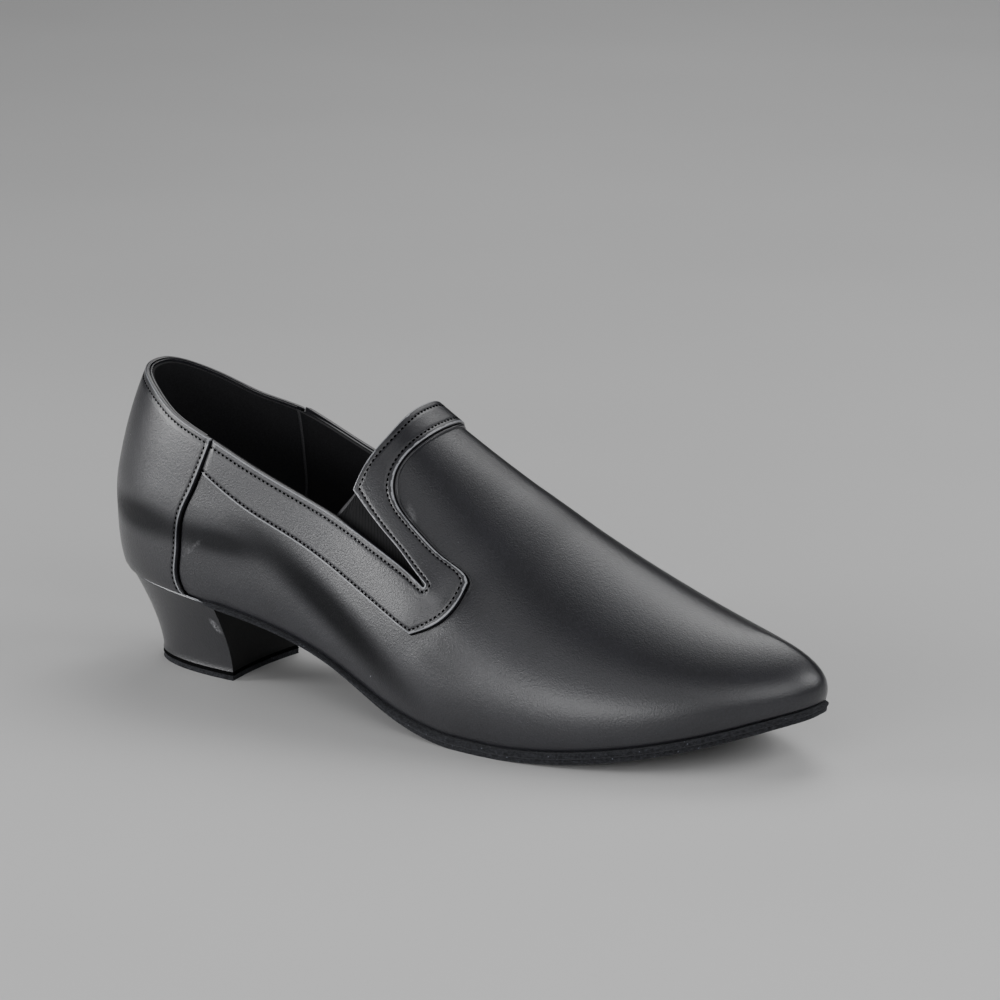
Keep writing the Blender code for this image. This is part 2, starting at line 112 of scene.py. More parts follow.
GORE_BACK = ((0.369, 0.470), (0.379, 0.545), (0.398, 0.640), (0.411, 0.710), (0.421, 0.775))
GORE_FRONT = ((0.465, 0.470), (0.530, 0.430), (0.572, 0.480), (0.572, 0.540), (0.530, 0.625),
              (0.485, 0.690), (0.466, 0.745))
MEDIAL_DIP = 0.0040                 # a little deeper and longer than the solids' dip, as seen
MEDIAL_DIP_SPAN = (0.038, 0.26)
SOLE_FLARE = (0.15, 0.20)

# Distances from a folded edge at which a panel has its rows
EDGE_ROWS = np.array([0, 0.07, 0.2, 0.4, 0.65, 0.9, 1.15, 1.45, 1.75, 2.05, 2.4, 2.8, 3.3]) / 1000
STITCH_IN = 0.0014                  # stitch row's distance from the counter's front edge
TOP_INSET = 0.0026                  # and from the topline, the notch and the throat
LOW_INSET = 0.0012                  # and from the band's lower edge
NOTCH_INSET = 0.0023                # and from the band's inner edge beside the notch
STITCH_PITCH = 0.0019
STITCH_HALF_LENGTH = 0.31           # a share of the pitch
STITCH_HALF_WIDTH = 0.00043
STITCH_HALF_HEIGHT = 0.00018
STITCH_SINK = 0.00016               # how deep a stitch's ends go into the leather
FOLD_RADIUS = 0.0005
FOLD_SWELL = 0.00030                # how full a folded edge stands
STITCH_DRAW = 0.00022               # how far a stitch row draws the fold down
DRAW_REACH = 0.00045
HIGHLIGHT_CROWN = (0.0001, 0.0009)            # where a fold is polished and a highlight is painted, from its edge
SHADOW = 0.0004                     # width of the painted shadow line beside a folded edge
UNDERLAY = 0.0013                   # how far the second ridge lies beyond the band
UNDERLAY_HEIGHT = 0.00062
SEAM_AHEAD = 0.0020                 # from the counter's solid to what lies ahead of it
SEAM_LIP = 0.0015                   # how far the counter's fold reaches into that seam
FACING_BACK = 0.0035                # from what lies ahead back to the facing's edge
LINING_TOP = 0.0010                 # lining's outer face, under the skin
TUCK_DEPTH = 0.0006                 # how far the leather turns in at the feather line
SEAM_DROP = 0.0009                  # how deep the upper turns in at the counter's seam
TURN_RADIUS = 0.0007
THREAD_SINK = 0.00014
HEEL_WALL = 0.08                    # length up the counter for a whole t

# The lining's seam: groove ahead of its line, step behind it and strip over it
GROOVE_AHEAD = 0.001
GROOVE_DEPTH = 0.0004
GROOVE_WIDTH = 0.0006
LINING_STEP = 0.0003
STEP_WIDTH = 0.0004
STRIP_HALF = 0.0006
STRIP_TOP = 0.0019
STRIP_BULGE = 0.00035

# The elastic's folded edge: its stitch line and the light rims beside it
GORE_FOLD = 0.0014
GORE_FOLD_DEPTH = 0.0005
GORE_FOLD_WIDTH = 0.0004
GORE_RIMS = (0.0007, 0.0018, 0.0024)

HEEL_LIP = 0.0007                   # how far the heel cover's folded top stands out
QUARTER_LENGTH = 0.09               # from the counter's seam to the notch's tip
GORE_LENGTH = 0.025
LINE_STEP = 0.0016                  # between cross lines of the band

# Numbers of cross lines along the band, of rows in the vamp's tongue and of steps round outlines
TOPLINE_LINES = 74
TIP_LINES = 24
NOTCH_LINES = 50
INSTEP_LINES = 43
UNDERLAY_FROM = TOPLINE_LINES + 22
TONGUE_ROWS = 46
OUTLINE_STEPS = 160
SOLE_STEPS = 150
HEEL_STEPS = 44
BREAST_STEPS = 28


def spline(xs, ys, x):
    """Natural cubic spline through the points."""
    xs = np.asarray(xs, float)
    ys = np.asarray(ys, float)
    x = np.asarray(x, float)
    count = len(xs)
    step = np.diff(xs)
    matrix = np.eye(count)
    right = np.zeros(count)
    for i in range(1, count - 1):
        matrix[i, i - 1:i + 2] = step[i - 1], 2 * (step[i - 1] + step[i]), step[i]
        right[i] = 6 * ((ys[i + 1] - ys[i]) / step[i] - (ys[i] - ys[i - 1]) / step[i - 1])
    bend = np.linalg.solve(matrix, right)
    k = np.clip(np.searchsorted(xs, x) - 1, 0, count - 2)
    after = xs[k + 1] - x
    before = x - xs[k]
    span = step[k]
    cubic = (bend[k] * after ** 3 + bend[k + 1] * before ** 3) / (6 * span)
    low = (ys[k] / span - bend[k] * span / 6) * after
    high = (ys[k + 1] / span - bend[k + 1] * span / 6) * before
    return cubic + low + high


def turn(station):
    """The outline's parameter u for a station."""
    return np.arccos(np.clip(1 - 2 * np.asarray(station, float), -1, 1)) / math.pi


def column(name, u):
    """A column of the section table, read as a smooth curve over u."""
    place = COLUMNS.index(name)
    return spline([turn(row[0]) for row in SECTIONS], [row[place] for row in SECTIONS], u)


def ridge_station(station):
    """Station of the ridge's point that belongs to a station of the feather line."""
    back = HEEL_FAN * np.clip(1 - station / HEEL_FAN_END, 0, None) ** 2
    front = TOE_FAN * np.clip((station - TOE_FAN_START) / (1 - TOE_FAN_START), 0, None) ** 2
    return station + back - front


def feather_height(u):
    """Height of the feather line."""
    climb = (HEEL_HEIGHT - SOLE_THICKNESS - GAP) * np.clip(column("heel", u), 0, None)
    spring = TOE_SPRING * np.clip(column("toe", u), 0, None)
    return SOLE_THICKNESS + GAP + climb + spring


def ridge_height(station):
    """Height of the ridge over a station."""
    u = turn(station)
    return feather_height(u) + INSTEP_RISE * column("rise", u)


def skin(u, t, side):
    """Point of the last's outer skin."""
    u, t, side = np.broadcast_arrays(*(np.asarray(v, float) for v in (u, t, side)))
    station = (1 - np.cos(math.pi * u)) / 2
    over = ridge_station(station)
    foot_x = LAST_LENGTH * station - SEAT_BACK
    foot_y = BALL_WIDTH * np.where(side < 0, -column("lateral", u), column("medial", u))
    foot_z = feather_height(u)
    top_x = LAST_LENGTH * over - SEAT_BACK
    top_y = BALL_WIDTH * column("ridge", turn(over))
    top_z = ridge_height(over)
    slope = (ridge_height(over + NUDGE) - ridge_height(over - NUDGE)) / (2 * NUDGE * LAST_LENGTH)
    inward = np.clip(np.cos(math.pi * t / 2), 0, None) ** column("wall", u)
    upward = np.clip(np.sin(math.pi * t / 2), 0, None) ** column("shoulder", u)
    fall = 1 / SWELL_PEAK - 1
    belly = t * (1 - t) ** fall / (SWELL_PEAK * (1 - SWELL_PEAK) ** fall)
    reach_x = foot_x - top_x
    reach_y = foot_y - top_y
    out = inward + BALL_WIDTH * column("swell", u) * belly / (np.hypot(reach_x, reach_y) + 1e-9)
    level = foot_z + (top_z - foot_z) * upward + slope * reach_x * out * upward ** 2
    return np.stack([top_x + reach_x * out, top_y + reach_y * out, level], -1)


def around(u, t, side):
    """Folds a place that has stepped over the back, the toe or the ridge onto the other side."""
    side = np.where((u < 0) | (u > 1), -side, side)
    u = np.where(u < 0, -u, np.where(u > 1, 2 - u, u))
    side = np.where(t > 1, -side, side)
    t = np.where(t > 1, 2 - t, np.clip(t, 0, None))
    return skin(u, t, side)


def skin_normal(u, t, side):
    """Unit normal of the skin, outward."""
    u, t, side = np.broadcast_arrays(*(np.asarray(v, float) for v in (u, t, side)))
    t = np.where((u < 0.004) | (u > 0.996), np.minimum(t, 0.985), t)
    along = around(u + 0.004, t, side) - around(u - 0.004, t, side)
    up = around(u, t + 0.012, side) - around(u, t - 0.012, side)
    normal = np.cross(along, up) * np.where(side < 0, 1, -1)[..., None]
    return normal / np.linalg.norm(normal, axis=-1)[..., None]


# Soft swells and troughs of the worn leather, on both sides: station and height of the middle,
# half length and half width in mm, tilt in degrees, lift in mm
RELIEF = (
    (0.396, 0.281, 34, 7, -31, 0.9),
    (0.375, 0.157, 36, 7, -31, -0.9),
    (0.220, 0.334, 20, 8, -3, 0.7),
    (0.220, 0.200, 20, 8, -3, -0.6),
    (0.060, 0.335, 24, 8, -3, 0.45),
    (0.060, 0.190, 22, 8, -3, -0.45),
    (0.560, 0.440, 16, 5, 52, -0.5),
)
LATERAL_RELIEF = (0.545, 0.500, 7, 2.5, -35, 0.35)


def soft_lift(points, station, height, long, wide, tilt, lift):
    """Lift that one swell or trough gives to points of the skin, in metres."""
    angle = math.radians(tilt)
    dx = points[..., 0] - (LAST_LENGTH * station - SEAT_BACK)
    dz = points[..., 2] - (feather_height(turn(station)) + INSTEP_RISE * height)
    along = (dx * math.cos(angle) + dz * math.sin(angle)) / (long / 1000)
    across = (dz * math.cos(angle) - dx * math.sin(angle)) / (wide / 1000)
    return lift / 1000 * np.exp(-along ** 2 - across ** 2)


def relief(points, side):
    """Lift of all the swells and troughs at points of the skin, in metres."""
    both = sum(soft_lift(points, *row) for row in RELIEF)
    return both + np.where(side < 0, soft_lift(points, *LATERAL_RELIEF), 0)


def skin_at(place):
    """Points of the skin at places."""
    return skin(place[..., 0], place[..., 1], place[..., 2])


def lifted(place, height):
    """Points at a height over the skin, with the soft relief."""
    base = skin_at(place)
    level = np.asarray(height, float) + relief(base, place[..., 2])
    return base + skin_normal(place[..., 0], place[..., 1], place[..., 2]) * level[..., None]


# Curves in the side view and on the skin
def height_at(x):
    """Height of the feather line over a place along the shoe."""
    return feather_height(turn((np.asarray(x, float) + SEAT_BACK) / LAST_LENGTH))


def distance_along(points):
    """Distance of each point from the first, along the line through them all."""
    return np.concatenate([[0], np.cumsum(np.linalg.norm(np.diff(points, axis=0), axis=1))])


def read_at(where, along, values):
    """The columns of values, known at distances along a line, at other distances."""
    return np.column_stack([np.interp(where, along, axis) for axis in values.T])


def smooth(points):
    """A side-view outline as x and z, spaced evenly."""
    points = np.asarray(points, float)
    along = distance_along(points)
    stops = np.linspace(0, along[-1], OUTLINE_STEPS + 1)
    x = LAST_LENGTH * spline(along, points[:, 0], stops) - SEAT_BACK
    return np.column_stack([x, height_at(x) + INSTEP_RISE * spline(along, points[:, 1], stops)])


def spaced(curve, count):
    """The curve's points again, count of them at even distances."""
    along = distance_along(curve)
    return read_at(np.linspace(0, along[-1], count), along, curve)


def stretch(curve, first, last):
    """The part of a curve between the points nearest to two stations and heights."""
    ends = []
    for station, height in (first, last):
        x = LAST_LENGTH * station - SEAT_BACK
        z = float(height_at(x)) + INSTEP_RISE * height
        ends.append(int(np.argmin(np.hypot(curve[:, 0] - x, curve[:, 1] - z))))
    return curve[ends[0]:ends[1] + 1]


def topline_height(x, side):
    """Height of the topline, which dips on the medial side."""
    edge = smooth(TOPLINE)
    low, high = (LAST_LENGTH * station - SEAT_BACK for station in MEDIAL_DIP_SPAN)
    share = np.clip((x - low) / (high - low), 0, 1)
    dip = MEDIAL_DIP * np.sin(math.pi * np.sqrt(share)) ** 2
    return np.interp(x, edge[:, 0], edge[:, 1]) - np.where(side > 0, dip, 0)


def bisect(wrong, count):
    """Parameter between 0 and 1 at which wrong turns from false to true, for each of count."""
    low = np.zeros(count)
    high = np.ones(count)
    for _ in range(36):
        middle = (low + high) / 2
        over = wrong(middle)
        high = np.where(over, middle, high)
        low = np.where(over, low, middle)
    return (low + high) / 2


def top_table(side):
    """u and t along the topline."""
    u = np.linspace(0, 1, 301)

    def over(t):
        point = skin(u, t, side)
        return point[:, 2] > topline_height(point[:, 0], side)

    return u, bisect(over, len(u))


TOPS = {side: top_table(side) for side in (-1, 1)}


def top_t(u, side):
    """t of the topline at u."""
    return np.interp(u, *TOPS[side])


def cross_u(curve, t_of, count, side):
    """u at which lines t_of(u) cross a curve that climbs all the way."""
    curve = curve[np.argsort(curve[:, 1])]

    def ahead(u):
        point = skin(u, t_of(u), side)
        return point[:, 0] > np.interp(point[:, 2], curve[:, 1], curve[:, 0])

    return bisect(ahead, count)


def locate(curve, side):
    """(u, t) of the skin's points seen at x and z, away from the ridge."""
    grid_u, grid_t = (a.ravel() for a in np.meshgrid(np.linspace(0.01, 0.99, 90),
                                                     np.linspace(0.01, 0.95, 60)))
    seen = skin(grid_u, grid_t, side)
    far = np.hypot(seen[:, 0] - curve[:, :1], seen[:, 2] - curve[:, 1:])
    nearest = np.argmin(far, axis=1)
    u = grid_u[nearest]
    t = grid_t[nearest]
    step = 1e-4
    reach = 0.03
    for _ in range(14):
        here = skin(u, t, side)
        by_u = (skin(u + step, t, side) - here) / step
        by_t = (skin(u, t + step, side) - here) / step
        miss_x = curve[:, 0] - here[:, 0]
        miss_z = curve[:, 1] - here[:, 2]
        size = by_u[:, 0] * by_t[:, 2] - by_t[:, 0] * by_u[:, 2]
        more_u = (miss_x * by_t[:, 2] - miss_z * by_t[:, 0]) / size
        more_t = (miss_z * by_u[:, 0] - miss_x * by_u[:, 2]) / size
        u = np.clip(u + np.clip(more_u, -reach, reach), 0, 1)
        t = np.clip(t + np.clip(more_t, -reach, reach), 0, 0.99)
    return np.column_stack([u, t])


def places(ut, side):
    """(u, t) pairs as places with their side."""
    return np.concatenate([ut, np.full(ut.shape[:-1] + (1,), float(side))], -1)


# Meshes
def mesh_object(name, points, faces, material, edge_material=None, marks=None):
    """A closed smooth-shaded piece that rides on the shoe; marked faces take the second material,
    such as the painted highlight on leather folds.
    """
    mesh = bpy.data.meshes.new(name)
    mesh.from_pydata([tuple(map(float, p)) for p in points], [], faces)
    if edge_material is not None:
        mesh.polygons.foreach_set("material_index", [int(m) for m in marks])
    work = bmesh.new()
    work.from_mesh(mesh)
    bmesh.ops.remove_doubles(work, verts=work.verts, dist=1e-7)
    bmesh.ops.recalc_face_normals(work, faces=work.faces)
    if work.calc_volume(signed=True) < 0:
        bmesh.ops.reverse_faces(work, faces=work.faces)
    work.to_mesh(mesh)
    work.free()
    mesh.materials.append(material)
    if edge_material is not None:
        mesh.materials.append(edge_material)
    mesh.shade_smooth()
    mesh.set_sharp_from_angle(angle=math.radians(50))
    shape = bpy.data.objects.new(name, mesh)
    bpy.context.collection.objects.link(shape)
    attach(shape, "root")
    return shape


def slab(name, patches, material, edge_material=None):
    """A closed panel from patches of (places, top, under): two faces and the walls round them.

    A fourth entry marks, with values over 0.5, where the outer face takes the second material, such
    as a painted highlight.
    """
    keys = {}
    outer = []
    inner = []
    faces = []
    bright = []
    for place, top, under, *mask in patches:
        marked = np.broadcast_to(mask[0] if mask else 0.0, place.shape[:-1])
        high = lifted(place, np.broadcast_to(top, place.shape[:-1]))
        low = lifted(place, np.broadcast_to(under, place.shape[:-1]))
        rows, columns = place.shape[:2]
        number = np.zeros((rows, columns), int)
        for i in range(rows):
            for j in range(columns):
                key = tuple(np.round(high[i, j] * 5e6).astype(int))
                if key not in keys:
                    keys[key] = len(outer)
                    outer.append(high[i, j])
                    inner.append(low[i, j])
                number[i, j] = keys[key]
        for i in range(rows - 1):
            for j in range(columns - 1):
                face = [number[i, j], number[i, j + 1], number[i + 1, j + 1], number[i + 1, j]]
                face = list(dict.fromkeys(int(k) for k in face))
                if len(face) > 2:
                    faces.append(face)
                    bright.append(marked[i:i + 2, j:j + 2].mean() > 0.5)
    count = len(outer)
    edges = {}
    for face in faces:
        for a, b in zip(face, face[1:] + face[:1]):
            edges.setdefault((min(a, b), max(a, b)), []).append((a, b))
    walls = [[b, a, a + count, b + count] for used in edges.values() if len(used) == 1
             for a, b in used]
    under_faces = [[k + count for k in reversed(face)] for face in faces]
    marks = bright + [False] * (len(under_faces) + len(walls))
    return mesh_object(name, outer + inner, faces + under_faces + walls, material, edge_material, marks)


def edge_shares(width, count):
    """Shares across a width, close together at both edges; one row for each width given."""
    width = np.atleast_1d(width)
    first = EDGE_ROWS[None, :] / width[:, None]
    last = 1 - first[:, ::-1]
    blend = np.linspace(0, 1, count + 2)[1:-1]
    middle = first[:, -1:] + (last[:, :1] - first[:, -1:]) * blend
    return np.concatenate([first, middle, last], 1)


def rounded(distance, radius):
    """Share of the full height at a distance from a rounded edge."""
    near = np.clip(1 - distance / radius, 0, 1)
    return np.sqrt(np.clip(1 - near ** 2, 0, 1))


def fold_height(distance, inset, bottom, top):
    """Height of a folded edge: round, a little full, drawn down by its stitches."""
    full = FOLD_SWELL * np.exp(-((distance - 0.4 * inset) / (0.28 * inset)) ** 2)
    drawn = STITCH_DRAW * np.exp(-((distance - inset) / DRAW_REACH) ** 2)
    return bottom + (top - bottom) * rounded(distance, FOLD_RADIUS) + full - drawn


def pair_height(a, first, b, last, bottom, top):
    """Height over the base between two folded edges at distances a and b."""
    return np.minimum(fold_height(a, first, bottom, top), fold_height(b, last, bottom, top))


def crown_highlight(distance, inset):
    """1 on the top of a folded edge, where it is polished and a highlight is painted."""
    return ((distance > HIGHLIGHT_CROWN[0]) & (distance < np.minimum(HIGHLIGHT_CROWN[1], 0.6 * inset))).astype(float)


def ring_walls(levels, count, first=0):
    """Faces between rings of count points, ring after ring, from the first point's number on."""
    faces = []
    for low in range(first, first + (levels - 1) * count, count):
        for k in range(count):
            n = (k + 1) % count
            faces.append([low + k, low + n, low + n + count, low + k + count])
    return faces


# Stitches: rings along half a stitch's length and their widths, as shares, and corners of a ring
STITCH_RINGS = ((-1.0, 0.25), (-0.88, 0.7), (-0.5, 1.0), (0.5, 1.0), (0.88, 0.7), (1.0, 0.25))
STITCH_CORNERS = 8


def stitch_row(path, height):
    """Points and faces of the stitches along a path of places."""
    line = lifted(path, height)
    normal = skin_normal(path[:, 0], path[:, 1], path[:, 2])
    gone = distance_along(line)
    count = max(1, int(gone[-1] / STITCH_PITCH))
    middles = (np.arange(count) + 0.5) * gone[-1] / count
    near = STITCH_PITCH / 4
    centre = read_at(middles, gone, line)
    ahead = read_at(middles + near, gone, line) - read_at(middles - near, gone, line)
    ahead /= np.linalg.norm(ahead, axis=1)[:, None]
    up = read_at(middles, gone, normal)
    up /= np.linalg.norm(up, axis=1)[:, None]
    beside = np.cross(ahead, up)
    half = STITCH_HALF_LENGTH * STITCH_PITCH
    angles = [2 * math.pi * c / STITCH_CORNERS for c in range(STITCH_CORNERS)]
    points = []
    faces = []
    for k in range(count):
        base = len(points)
        for along, wide in STITCH_RINGS:
            for a in angles:
                level = math.sin(a) * wide * STITCH_HALF_HEIGHT - STITCH_SINK * along ** 2
                points.append(centre[k] + ahead[k] * along * half + up[k] * level
                              + beside[k] * math.cos(a) * wide * STITCH_HALF_WIDTH)
        faces += ring_walls(len(STITCH_RINGS), STITCH_CORNERS, base)
        faces.append(list(range(base, base + STITCH_CORNERS))[::-1])
        faces.append(list(range(len(points) - STITCH_CORNERS, len(points))))
    return points, faces


def stitches(name, rows, material):
    """All the stitches of some rows as one piece."""
    points = []
    faces = []
    for path, height in rows:
        more, their = stitch_row(path, height)
        faces += [[k + len(points) for k in face] for face in their]
        points += more
    return mesh_object(name, points, faces, material)


# Materials
def link(tree, source, target):
    """Joins two sockets of a node tree."""
    tree.links.new(source, target)


def node(tree, kind, **values):
    """A node with its settings and input values."""
    made = tree.nodes.new(kind)
    for name, value in values.items():
        if hasattr(made, name):
            setattr(made, name, value)
        else:
            made.inputs[name.replace("_", " ")].default_value = value
    return made


def own_place(tree):
    """The place on the object, in metres."""
    return node(tree, "ShaderNodeTexCoord").outputs["Object"]


def noise(tree, scale, detail=2.0, roughness=0.5):
    """A noise texture over the object's own metres."""
    made = node(tree, "ShaderNodeTexNoise", Scale=scale, Detail=detail, Roughness=roughness)
    link(tree, own_place(tree), made.inputs["Vector"])
    return made.outputs["Fac"]


def ramp(tree, value, low, high, first, last):
    """The value's range from low to high as first to last."""
    made = node(tree, "ShaderNodeMapRange")
    for name, number in zip(("From Min", "From Max", "To Min", "To Max"), (low, high, first, last)):
        made.inputs[name].default_value = number
    link(tree, value, made.inputs["Value"])
    return made.outputs["Result"]


def times(tree, first, second):
    """Two values multiplied."""
    made = node(tree, "ShaderNodeMath", operation="MULTIPLY")
    link(tree, first, made.inputs[0])
    link(tree, second, made.inputs[1])
    return made.outputs[0]


def blend_colour(tree, share, first, last):
    """Two colours, or sockets, mixed by a share."""
    made = node(tree, "ShaderNodeMix", data_type="RGBA")
    link(tree, share, made.inputs[0])
    for socket, colour in ((made.inputs[6], first), (made.inputs[7], last)):
        if isinstance(colour, tuple):
            socket.default_value = (*colour, 1)
        else:
            link(tree, colour, socket)
    return made.outputs[2]


def bump(tree, value, strength, distance, below=None):
    """A bump, laid on another where one is given."""
    made = node(tree, "ShaderNodeBump", Strength=strength, Distance=distance)
    link(tree, value, made.inputs["Height"])
    if below is not None:
        link(tree, below, made.inputs["Normal"])
    return made.outputs["Normal"]


def specks(tree, scale, size, share):
    """A mask of small dust specks, spread thinly."""
    cells = node(tree, "ShaderNodeTexVoronoi", Scale=scale)
    link(tree, own_place(tree), cells.inputs["Vector"])
    near = ramp(tree, cells.outputs["Distance"], size, size * 0.6, 0, 1)
    split = node(tree, "ShaderNodeSeparateColor")
    link(tree, cells.outputs["Color"], split.inputs["Color"])
    chosen = node(tree, "ShaderNodeMath", operation="LESS_THAN")
    link(tree, split.outputs[0], chosen.inputs[0])
    chosen.inputs[1].default_value = share
    return times(tree, near, chosen.outputs[0])


def egg(tree, place, size, tilt):
    """1 at a place, falling to 0 at the half sizes given, along a line tilted in the side view."""
    moved = node(tree, "ShaderNodeMapping", vector_type="TEXTURE", Location=place, Scale=size,
                 Rotation=(0, math.radians(-tilt), 0))
    link(tree, own_place(tree), moved.inputs["Vector"])
    round_off = node(tree, "ShaderNodeTexGradient", gradient_type="SPHERICAL")
    link(tree, moved.outputs["Vector"], round_off.inputs["Vector"])
    return round_off.outputs["Fac"]


def scuff(tree, place, size, strength):
    """A mask of a faint, broken rub mark round a place, in metres."""
    broken = ramp(tree, noise(tree, 900, 4, 0.7), 0.40, 0.75, 0, 1)
    return times(tree, ramp(tree, egg(tree, place, size, SCUFF_TILT), 0, 0.8, 0, strength), broken)


def soft_spot(tree, place, size, tilt):
    """A mask that fades out softly from a place."""
    faded = node(tree, "ShaderNodeMapRange", interpolation_type="SMOOTHSTEP")
    link(tree, egg(tree, place, size, tilt), faded.inputs["Value"])
    faded.inputs["From Max"].default_value = 0.75
    return faded.outputs["Result"]


def surface(name, **values):
    """A material and its shader, with its plain values set on the shader's own sockets."""
    material = bpy.data.materials.new(name)
    material.use_nodes = True
    tree = material.node_tree
    shader = tree.nodes["Principled BSDF"]
    for key, value in values.items():
        shader.inputs[key.replace("_", " ")].default_value = value
    return material, tree, shader


def leather(name, dark, light, smooth_low, smooth_high):
    """Fine black leather with a slate sheen, faint mottling, a little dust and spots of painted
    shade.
    """
    material, tree, shader = surface(name, Coat_Roughness=0.34, Specular_IOR_Level=0.18,
                                     Specular_Tint=(0.93, 0.95, 1.0, 1))
    mottled = ramp(tree, noise(tree, 26, 3), 0.35, 0.65, 0, 1)
    colour = blend_colour(tree, mottled, dark, light)
    fine = ramp(tree, noise(tree, 1500, 2), 0.35, 0.75, 0, 0.35)
    colour = blend_colour(tree, fine, colour, tuple(c * 2.2 for c in light))
    colour = blend_colour(tree, specks(tree, 130, 0.045, 0.08), colour, DUST)
    polish = None
    # Painted shade: each spot darkens the colour and takes away the coat
    for place, size, tilt, share in PAINTED_SHADE_SPOTS:
        painted_shade = ramp(tree, soft_spot(tree, place, size, tilt), 0, 1, 0, share)
        colour = blend_colour(tree, painted_shade, colour, tuple(c * 0.5 for c in dark))
        left = ramp(tree, painted_shade, 0, 1, 1, 0)
        polish = left if polish is None else times(tree, polish, left)
    link(tree, polish, shader.inputs["Coat Weight"])
    for place, size, strength in SCUFFS:
        colour = blend_colour(tree, scuff(tree, place, size, strength), colour, RUBBED)
    link(tree, colour, shader.inputs["Base Color"])
    rough = ramp(tree, noise(tree, 900, 3, 0.6), 0.3, 0.7, smooth_low, smooth_high)
    link(tree, rough, shader.inputs["Roughness"])
    grain = bump(tree, noise(tree, 1700, 2, 0.6), 0.80, 0.00011)
    pores = bump(tree, noise(tree, 650, 2), 0.15, 0.00020, grain)
    link(tree, pores, shader.inputs["Normal"])
    link(tree, pores, shader.inputs["Coat Normal"])
    return material


def nap(name, dark, light, scale, strength):
    """Suede: rough, dull and faintly speckled."""
    material, tree, shader = surface(name, Roughness=0.95, Sheen_Weight=0.08, Sheen_Roughness=0.6,
                                     Specular_IOR_Level=0.2, Sheen_Tint=(0.85, 0.88, 0.95, 1))
    fibres = ramp(tree, noise(tree, scale, 5, 0.7), 0.4, 0.7, 0, 1)
    colour = blend_colour(tree, fibres, dark, light)
    colour = blend_colour(tree, specks(tree, 700, 0.16, 0.16), colour, LINT)
    link(tree, colour, shader.inputs["Base Color"])
    rough = bump(tree, noise(tree, scale * 1.4, 4, 0.7), strength, 0.0003)
    link(tree, rough, shader.inputs["Normal"])
    return material


def cloth(name, colour, roughness, scale, strength, gloss=0.3):
    """Plain fabric or thread with a fine uneven face."""
    material, tree, shader = surface(name, Roughness=roughness, Specular_IOR_Level=gloss)
    fibres = ramp(tree, noise(tree, scale, 4, 0.6), 0.35, 0.7, 0, 1)
    link(tree, blend_colour(tree, fibres, colour, tuple(c * 2.4 for c in colour)),
         shader.inputs["Base Color"])
    link(tree, bump(tree, noise(tree, scale, 3), strength, 0.0001), shader.inputs["Normal"])
    return material


def ribbed(name, dark, light):
    """Elastic with fine ribs that run up and down."""
    material, tree, shader = surface(name, Roughness=0.8, Specular_IOR_Level=0.25)
    turned = node(tree, "ShaderNodeMapping", Rotation=(0, math.radians(RIB_TILT), 0))
    link(tree, own_place(tree), turned.inputs["Vector"])
    ribs = node(tree, "ShaderNodeTexWave", Scale=WAVE_LENGTH / RIB_PITCH, Distortion=0.6)
    ribs.inputs["Detail Scale"].default_value = 2.0
    link(tree, turned.outputs["Vector"], ribs.inputs["Vector"])
    shade = ramp(tree, ribs.outputs["Fac"], 0.1, 0.9, 0, 1)
    link(tree, blend_colour(tree, shade, dark, light), shader.inputs["Base Color"])
    link(tree, bump(tree, ribs.outputs["Fac"], 0.8, 0.00025), shader.inputs["Normal"])
    return material


# Elastic's ribs, and the wave texture's own length at scale 1
RIB_TILT = 12
RIB_PITCH = 0.00062
WAVE_LENGTH = 0.314

DUST = (0.30, 0.31, 0.33)
RUBBED = (0.19, 0.19, 0.20)
LINT = (0.14, 0.15, 0.18)

# Rub marks: centre and half sizes in metres, strength
SCUFF_TILT = 35
SCUFFS = (
    ((0.1042, -0.0290, 0.0759), (0.0016, 0.004, 0.0050), 0.8),
    ((0.1120, -0.0290, 0.0790), (0.0030, 0.004, 0.0009), 0.8),
    ((0.0130, -0.0318, 0.0515), (0.0055, 0.006, 0.0012), 0.5),
    ((0.0100, -0.0318, 0.0485), (0.0040, 0.006, 0.0010), 0.5),
    ((0.0174, -0.0235, 0.0208), (0.0017, 0.05, 0.0040), 2.5),
)

# Painted shade: spots where the leather's colour is darkened and its coat is taken away, for the
# dark bands on the counter, the quarter and the vamp: centre and half sizes in metres, tilt in
# degrees, share lost
PAINTED_SHADE_SPOTS = (
    ((-0.014, -0.030, 0.0580), (0.034, 0.2, 0.0090), -3, 0.9),
    ((0.022, -0.030, 0.0550), (0.034, 0.2, 0.0070), -3, 0.8),
    ((0.074, -0.030, 0.0390), (0.062, 0.2, 0.0110), -31, 1.0),
    ((0.125, -0.045, 0.0340), (0.022, 0.2, 0.0100), -25, 0.5),
)

BLACK = leather("shoe_leather", (0.008, 0.008, 0.010), (0.013, 0.013, 0.016), 0.34, 0.46)
HEEL_BLACK = leather("heel_leather", (0.008, 0.008, 0.010), (0.013, 0.013, 0.015), 0.40, 0.52)
# Lighter, glossier leather on the tops of folded edges: the gloss is polish, the lighter colour is
# a painted highlight
PAINTED_FOLD_HIGHLIGHT = leather("fold_leather_painted_highlight", (0.17, 0.175, 0.19), (0.22, 0.225, 0.24), 0.30, 0.38)
# Painted shade: near-black, dull cloth on the heel's breast, which faces away under the arch
BREAST_SHADE_BLACK = cloth("breast_leather_painted_shade", (0.0028, 0.0028, 0.0031), 0.6, 900, 0.3, 0.25)
LINING_EDGE = cloth("elastic_fold", (0.022, 0.022, 0.024), 0.6, 2400, 0.3)
